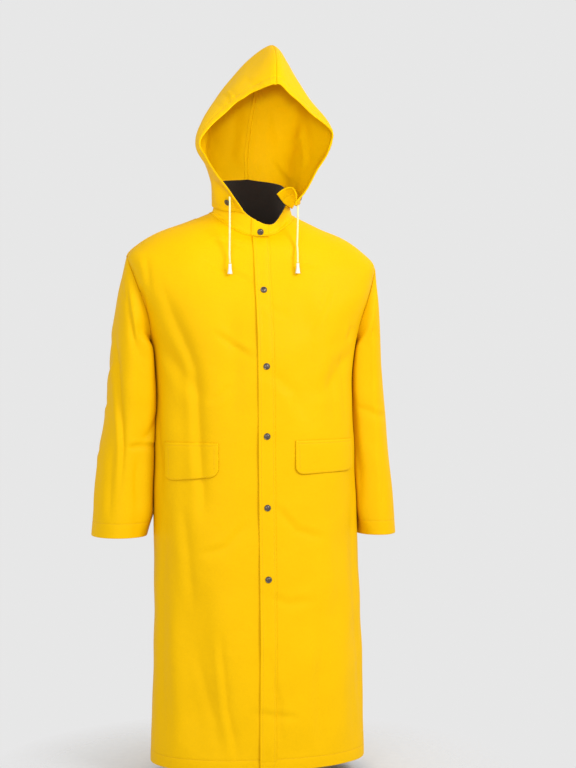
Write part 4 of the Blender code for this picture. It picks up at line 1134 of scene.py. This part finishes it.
HOOD_ROWS = np.array([  # in mm, across, ahead, height: from hem to crown, and from face edge to centre seam
    [(58, 79, -8), (80, 26, 0), (91, -17, 13), (67, -69, 34), (0, -88, 45)],
    [(83, 94, 26), (99, 50, 46), (94, -5, 70), (71, -62, 90), (0, -86.5, 100)],
    [(106, 113, 72), (124, 68, 102), (108, 5, 132), (78, -50, 150), (0, -80, 160)],
    [(128, 133, 113), (145, 90, 145), (116, 15, 184), (84, -38, 208), (0, -71, 218)],
    [(143, 150, 152), (137, 100, 188), (107, 28, 232), (80, -25, 257), (0, -60, 266)],
    [(87, 165, 196), (90, 104, 238), (77, 40, 277), (62, -15, 303), (0, -50, 314)],
    [(40, 176, 234), (47, 110, 282), (44, 50, 318), (37, 0, 341), (0, -27, 350)],
    [(0, 181, 262), (0, 132, 312), (0, 85, 344), (0, 36, 364), (0, 2, 369)],
]) / (1000, -1000, 1000)
MIRROR = np.array((-1, 1, 1))
HOOD_CREASES = {
    "inside": [
        (9, -6.4, 1.6, 0.0, (255, 88), (255, 128), (251, 168)),
        (16, 6.0, 1.8, 0.0, (236, 98), (233, 134), (228, 170)),
        (8, 2.6, 1.4, 0.4, (262, 160), (256, 170), (250, 178)),
        (8, 2.6, 1.4, -0.4, (276, 158), (284, 170), (294, 181)),
        (12, 2.2, 1.6, 0.0, (272, 104), (276, 130), (282, 152)),
        (9, 1.8, 1.5, 0.4, (300, 120), (298, 150), (290, 172)),
    ],
    "right": [
        (10, 2.2, 1.4, 0.5, (62, 258), (40, 254), (16, 258)),
        (12, 2.4, 1.4, 0.5, (58, 162), (20, 160), (-12, 158)),
        (12, 3.0, 1.5, -0.4, (16, 214), (-10, 150), (-34, 80)),
        (12, 2.4, 1.5, 0.4, (-70, 200), (-64, 140), (-56, 80)),
    ],
    "left": [
        (10, 2.2, 1.4, 0.5, (60, 248), (36, 240), (10, 246)),
        (12, 2.4, 1.4, 0.5, (62, 170), (24, 164), (-10, 170)),
        (12, 3.0, 1.5, -0.4, (20, 206), (-8, 146), (-30, 86)),
    ],
    "back": [
        (12, 2.4, 1.5, 0.4, (-60, 120), (-20, 108), (30, 116)),
        (10, 1.8, 1.5, -0.4, (-30, 200), (10, 192), (50, 204)),
    ],
    "front": [
        (4.0, 2.6, 1.4, 0.6, (222, 92), (229, 97), (230, 105)),
        (4.0, 2.4, 1.4, -0.6, (228, 88), (234, 94), (235, 102)),
        (4.0, 1.8, 1.4, 0.6, (214, 101), (221, 106), (223, 112)),
        (10, 4.4, 1.5, 0.4, (203, 166), (213, 180), (226, 194), (243, 216)),
        (12, 3.0, 1.6, 0.3, (214, 182), (222, 196), (226, 212)),
        (9, 1.8, 1.4, 0.5, (244, 78), (252, 84), (262, 84)),
    ],
}
HOOD_HEM_LINE, CASING, CASING_LINE = 0.010, 0.026, 0.0235
HOOD_GIRTH, HOOD_HEIGHT = 0.36, 0.33  # a half's size round and up, in metres
CUT_BACK = np.array([  # rise, and how much of the right half's face edge is cut away there
    (0.50, 0.0), (0.55, 0.02), (0.60, 0.05), (0.65, 0.095), (0.70, 0.115), (0.76, 0.125), (0.80, 0.10),
    (0.85, 0.085), (0.90, 0.05), (0.95, 0.015), (1.0, 0.0),
])
CURL = np.array([  # rise, and the move of the left half's lower corner there: across, back, height
    (0.00, -0.0135, 0.024, 0.028), (0.02, -0.0060, 0.019, 0.033), (0.05, 0.0040, 0.012, 0.032),
    (0.075, 0.0045, 0.005, 0.016), (0.09, 0.0014, 0.001, -0.005), (0.11, -0.0060, 0.0005, -0.0185),
    (0.13, -0.0080, 0.0, -0.015), (0.17, -0.0030, 0.0, -0.006), (0.21, 0.0, 0.0, 0.0), (1.0, 0.0, 0.0, 0.0),
])


def curled(point, round_share, rise):
    """Shapes the left half, whose lower front corner rolls inwards; returns what is added at the end."""
    corner = fade(rise, 0.0, 0.20)
    point[..., 0] -= 0.026 * corner * fade(round_share, 0.0, 0.26)
    point[..., 2] += 0.013 * corner * fade(round_share, 0.0, 0.10)
    low = bell(round_share, 0.15, 0.10)  # the hem sags behind the corner
    point[..., 0] += 0.016 * low * fade(rise, 0.0, 0.07)
    point[..., 2] -= 0.010 * low * fade(rise, 0.0, 0.10)
    jaw = bell(rise, 0.41, 0.11) * fade(round_share, 0.15, 0.5)
    slim = bell(rise, 0.15, 0.07) * fade(round_share, 0.1, 0.5)
    point[..., 0] += 0.012 * jaw - 0.007 * slim
    return through(CURL[:, 0], CURL[:, 1:], rise) * fade(round_share, 0.02, 0.40)[..., None]


def hood_place(side):
    """The place on one half: round_share goes from the face edge to the centre seam, rise from hem to crown."""

    def place(round_share, rise):
        round_share, rise = np.broadcast_arrays(round_share, rise)
        if side < 0:
            cut = through(*CUT_BACK.T, rise) * (rise > 0.5)
            round_share = cut + (1 - cut) * round_share
        row = []
        for column in np.moveaxis(HOOD_ROWS, 1, 0):
            chain = np.concatenate([[column[0] * 2 - column[1]], column, [column[-2] * MIRROR]])
            row.append(along_chain(np.broadcast_to(chain[:, None, None], (len(chain), *rise.shape, 3)), rise))
        chain = np.stack([row[0] * 2 - row[1], *row, row[-2] * MIRROR])
        point = along_chain(chain, round_share).copy()
        moved = curled(point, round_share, rise) if side > 0 else 0.0
        point[..., 0] = side * (np.maximum(0.0, point[..., 0]) + SEAM)
        ahead = np.maximum(0.0, -point[..., 1])
        lean = 0.038 * np.maximum(0.0, (point[..., 2] - 0.130) / 0.240) ** 1.45
        pulled = 0.022 * fade(point[..., 2], 0.0, 0.130) * smooth_step(ahead, 0.02, 0.08)
        roll = 0.080 * point[..., 0] * smooth_step(ahead, 0.03, 0.15)
        return point + np.stack([0.035 * ahead + lean + pulled, 0 * roll, roll], axis=-1) + moved

    return place


def hood_half(side):
    place = hood_place(side)
    turned = turned_edge(CASING, 0.0014)
    up = np.r_[0.0, 0.004, 0.010, 0.018, 0.024, 0.0275, 0.031, 0.037, np.linspace(0.046, 0.992, 92), 1.0]
    near = np.r_[0.0014, 0.003, 0.006, 0.012, CASING_LINE + STITCH_ROW]
    far = [0, 0.001, 0.0022, 0.0046, 0.0054, 0.0062, 0.009]
    share, across, length = at_lengths(place, np.zeros(len(up)), np.ones(len(up)), up, near, far, 62)
    local = share[:, [0]] / across[:, [0]]
    share = np.concatenate([turned[None, :, 0] * local, share], axis=1)
    across = np.concatenate([np.broadcast_to(turned[None, :, 0], (len(up), len(turned))), across], axis=1)
    if side > 0:  # the left half's seam allowance goes on under the right half, over crown and back
        past = ALLOWANCE * 0.85
        pace = (share[:, [-1]] - share[:, [-2]]) / (across[:, [-1]] - across[:, [-2]])
        share = np.concatenate([share, 1 + pace * past], axis=1)
        across = np.concatenate([across, across[:, [-1]] + past], axis=1)
        share, across = (np.concatenate([grid, np.repeat(grid[[-1]], 4, axis=0)]) for grid in (share, across))
        up, length = np.r_[up, 1 + past / HOOD_GIRTH], np.r_[length, np.repeat(length[-1], 4)]
    depths = np.r_[turned[:, 1], np.zeros(share.shape[1] - len(turned))]
    rise = np.broadcast_to(up[:, None], share.shape)
    over = ((share > 1.00001) | (rise > 1.00001))[..., None]
    near_share, near_rise = np.minimum(share, 2 - share), np.minimum(rise, 2 - rise)
    points = np.where(over, hood_place(-side)(near_share, near_rise), place(near_share, near_rise))
    safe = np.clip(near_share, 0.015, 0.985), np.clip(near_rise, 0.015, 0.985)
    normals = np.where(over, -normal_of(hood_place(-side), *safe, 0.01), normal_of(place, *safe, 0.01)) * side
    middle = (share > 0.97) | (rise > 0.985)
    normals[..., 0] = np.where(middle, 0, normals[..., 0])
    normals = normals / np.linalg.norm(normals, axis=-1)[..., None]
    push = crease_depth(HOOD_CREASES, points, normals) + ripple(points, 0.07, 0.0020, 41)
    seam = np.minimum(length[:, None] - across, (1 - rise) * HOOD_GIRTH)
    edge = 0.0022 * smooth_step(-seam, -0.0016, 0.0006) if side > 0 else pinch(seam, 0, 0.0006, 0.002)
    push = push * smooth_step(seam, 0.006, 0.03) + edge + pinch(seam, 0.0054, 0.0003)
    outer = depths[None] == 0
    push = push + outer * pinch(across, CASING_LINE, 0.0006) + pinch(rise * HOOD_HEIGHT, HOOD_HEM_LINE)
    tube = 0.0010 * bell(across, 0.011, 0.008)
    gathers = 0.0006 * np.sin(rise * 190 + 2 * np.sin(rise * 31)) * bell(across, 0.014, 0.010)
    points = points + normals * (np.where(outer, tube - gathers, -tube) - push - depths[None])[..., None]
    return points, normals, across, depths, rise


for side, name in ((-1, "right"), (1, "left")):
    points, normals, across, depths, rise = hood_half(side)
    cut_piece(f"hood_{name}_half", f"hood_{name}", (points, normals))
    first = int(np.sum(depths > 0))
    line = first + int(np.argmin(np.abs(across[0, first:] - CASING_LINE)))
    sew(points[:, line], normals[:, line])
    sew(points[:, 1], -normals[:, 1])
    column = -5 if side < 0 else -9
    sew(points[:, column], normals[:, column])
    hem_row = int(np.argmin(np.abs(rise[:, 0] * HOOD_HEIGHT - HOOD_HEM_LINE)))
    sew(points[hem_row, first:], normals[hem_row, first:])

# --- Snaps: pressed metal caps in a dark gunmetal finish, six down the front and four that hold the
# hood to the collar. Each is a rolled rim round a shallow dome.

CAP = [  # radius, height in mm
    (0, 2.35), (1.8, 2.25), (3.4, 1.95), (4.6, 1.4), (5.1, 1.1), (5.5, 1.2), (6.0, 1.65), (6.6, 1.7),
    (7.1, 1.2), (7.2, 0.5), (7.0, 0), (5.0, -0.1), (0, -0.1),
]
CAP_LIFT = 0.0006  # how far a cap stands off the cloth


def cap_material():
    look = Look("gunmetal cap", 0.34, metallic=1.0)
    place = look.place()
    spots, scratches = look.noise(place, 700.0, 5.0), look.noise(place, 90.0, 6.0, Distortion=2.0)
    return look.finish({
        "Base Color": look.ramp(spots, (0.35, (0.085, 0.068, 0.052)), (0.7, (0.20, 0.17, 0.14))),
        "Roughness": look.ramp(scratches, (0.3, 0.26), (0.7, 0.48)),
        "Normal": look.bump(spots, 0.2, 0.0001),
    })


gunmetal = cap_material()


def snap_cap(name, point, normal, node):
    mesh = turned_mesh(CAP, 39, 36)
    turn = Vector(normal).to_track_quat("Z", "Y").to_matrix().to_4x4()
    bmesh.ops.transform(mesh, matrix=Matrix.Translation(point) @ turn, verts=mesh.verts[:])
    dress(mesh_object(name, mesh, gunmetal), node)


for number in range(1, 7):
    node = f"front_snap_{number}"
    low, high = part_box(node)
    across, _, height = ((np.array(low) + np.array(high)) / 2)[:, None, None]
    out = np.array([[STRIP_LIFT + CAP_LIFT]])
    if number == 1:  # on the tab
        angle = np.arcsin(across / COLLAR_HALF_WIDTH)
        foot, top = (collar_place(angle, np.array([[share]]))[..., 2] for share in (0.0, 1.0))
        point, normal = collar_surface(angle, (height - foot) / (top - foot), out)
    else:
        point, normal = front_surface(*on_front(across, height), out)
    snap_cap(f"front_cap_{number}", point[0, 0], normal[0, 0], node)

for side, name, share, rise in ((-1, "right_rear", 0.74, 0.040), (-1, "right_front", 0.15, 0.070),
                                (1, "left_rear", 0.74, 0.040), (1, "left_front", 0.22, 0.120)):
    place = hood_place(side)
    share, rise = np.array([[share]]), np.array([[rise]])
    normal = normal_of(place, share, rise, 0.01)[0, 0] * side
    snap_cap(f"hood_cap_{name}", place(share, rise)[0, 0] + normal * CAP_LIFT, normal, f"hood_snap_{name}")

# --- Thread: every stitch of the sewn lines, in yellow thread, each a small spindle on the cloth.

THREAD_RADIUS = 0.00032


def thread_material():
    look = Look("yellow thread", 0.55)
    twist = look.noise(look.place(), 1500.0, 2.0)
    return look.finish({
        "Base Color": look.ramp(twist, (0.3, (0.64, 0.35, 0.0)), (0.7, (0.78, 0.435, 0.0))),
        "Normal": look.bump(twist, 0.3, 0.0002),
    })


def thread():
    mesh = bmesh.new()
    for start, end in STITCHES:
        along = Vector(end - start)
        turn = along.to_track_quat("X", "Z").to_matrix().to_4x4()
        spindle = Matrix.Diagonal((along.length / 2, THREAD_RADIUS, THREAD_RADIUS, 1))
        place = Matrix.Translation((start + end) / 2) @ turn @ spindle
        bmesh.ops.create_icosphere(mesh, subdivisions=1, radius=1.0, matrix=place)
    obj = mesh_object("seam_thread", mesh, thread_material())
    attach(obj, "root")


thread()
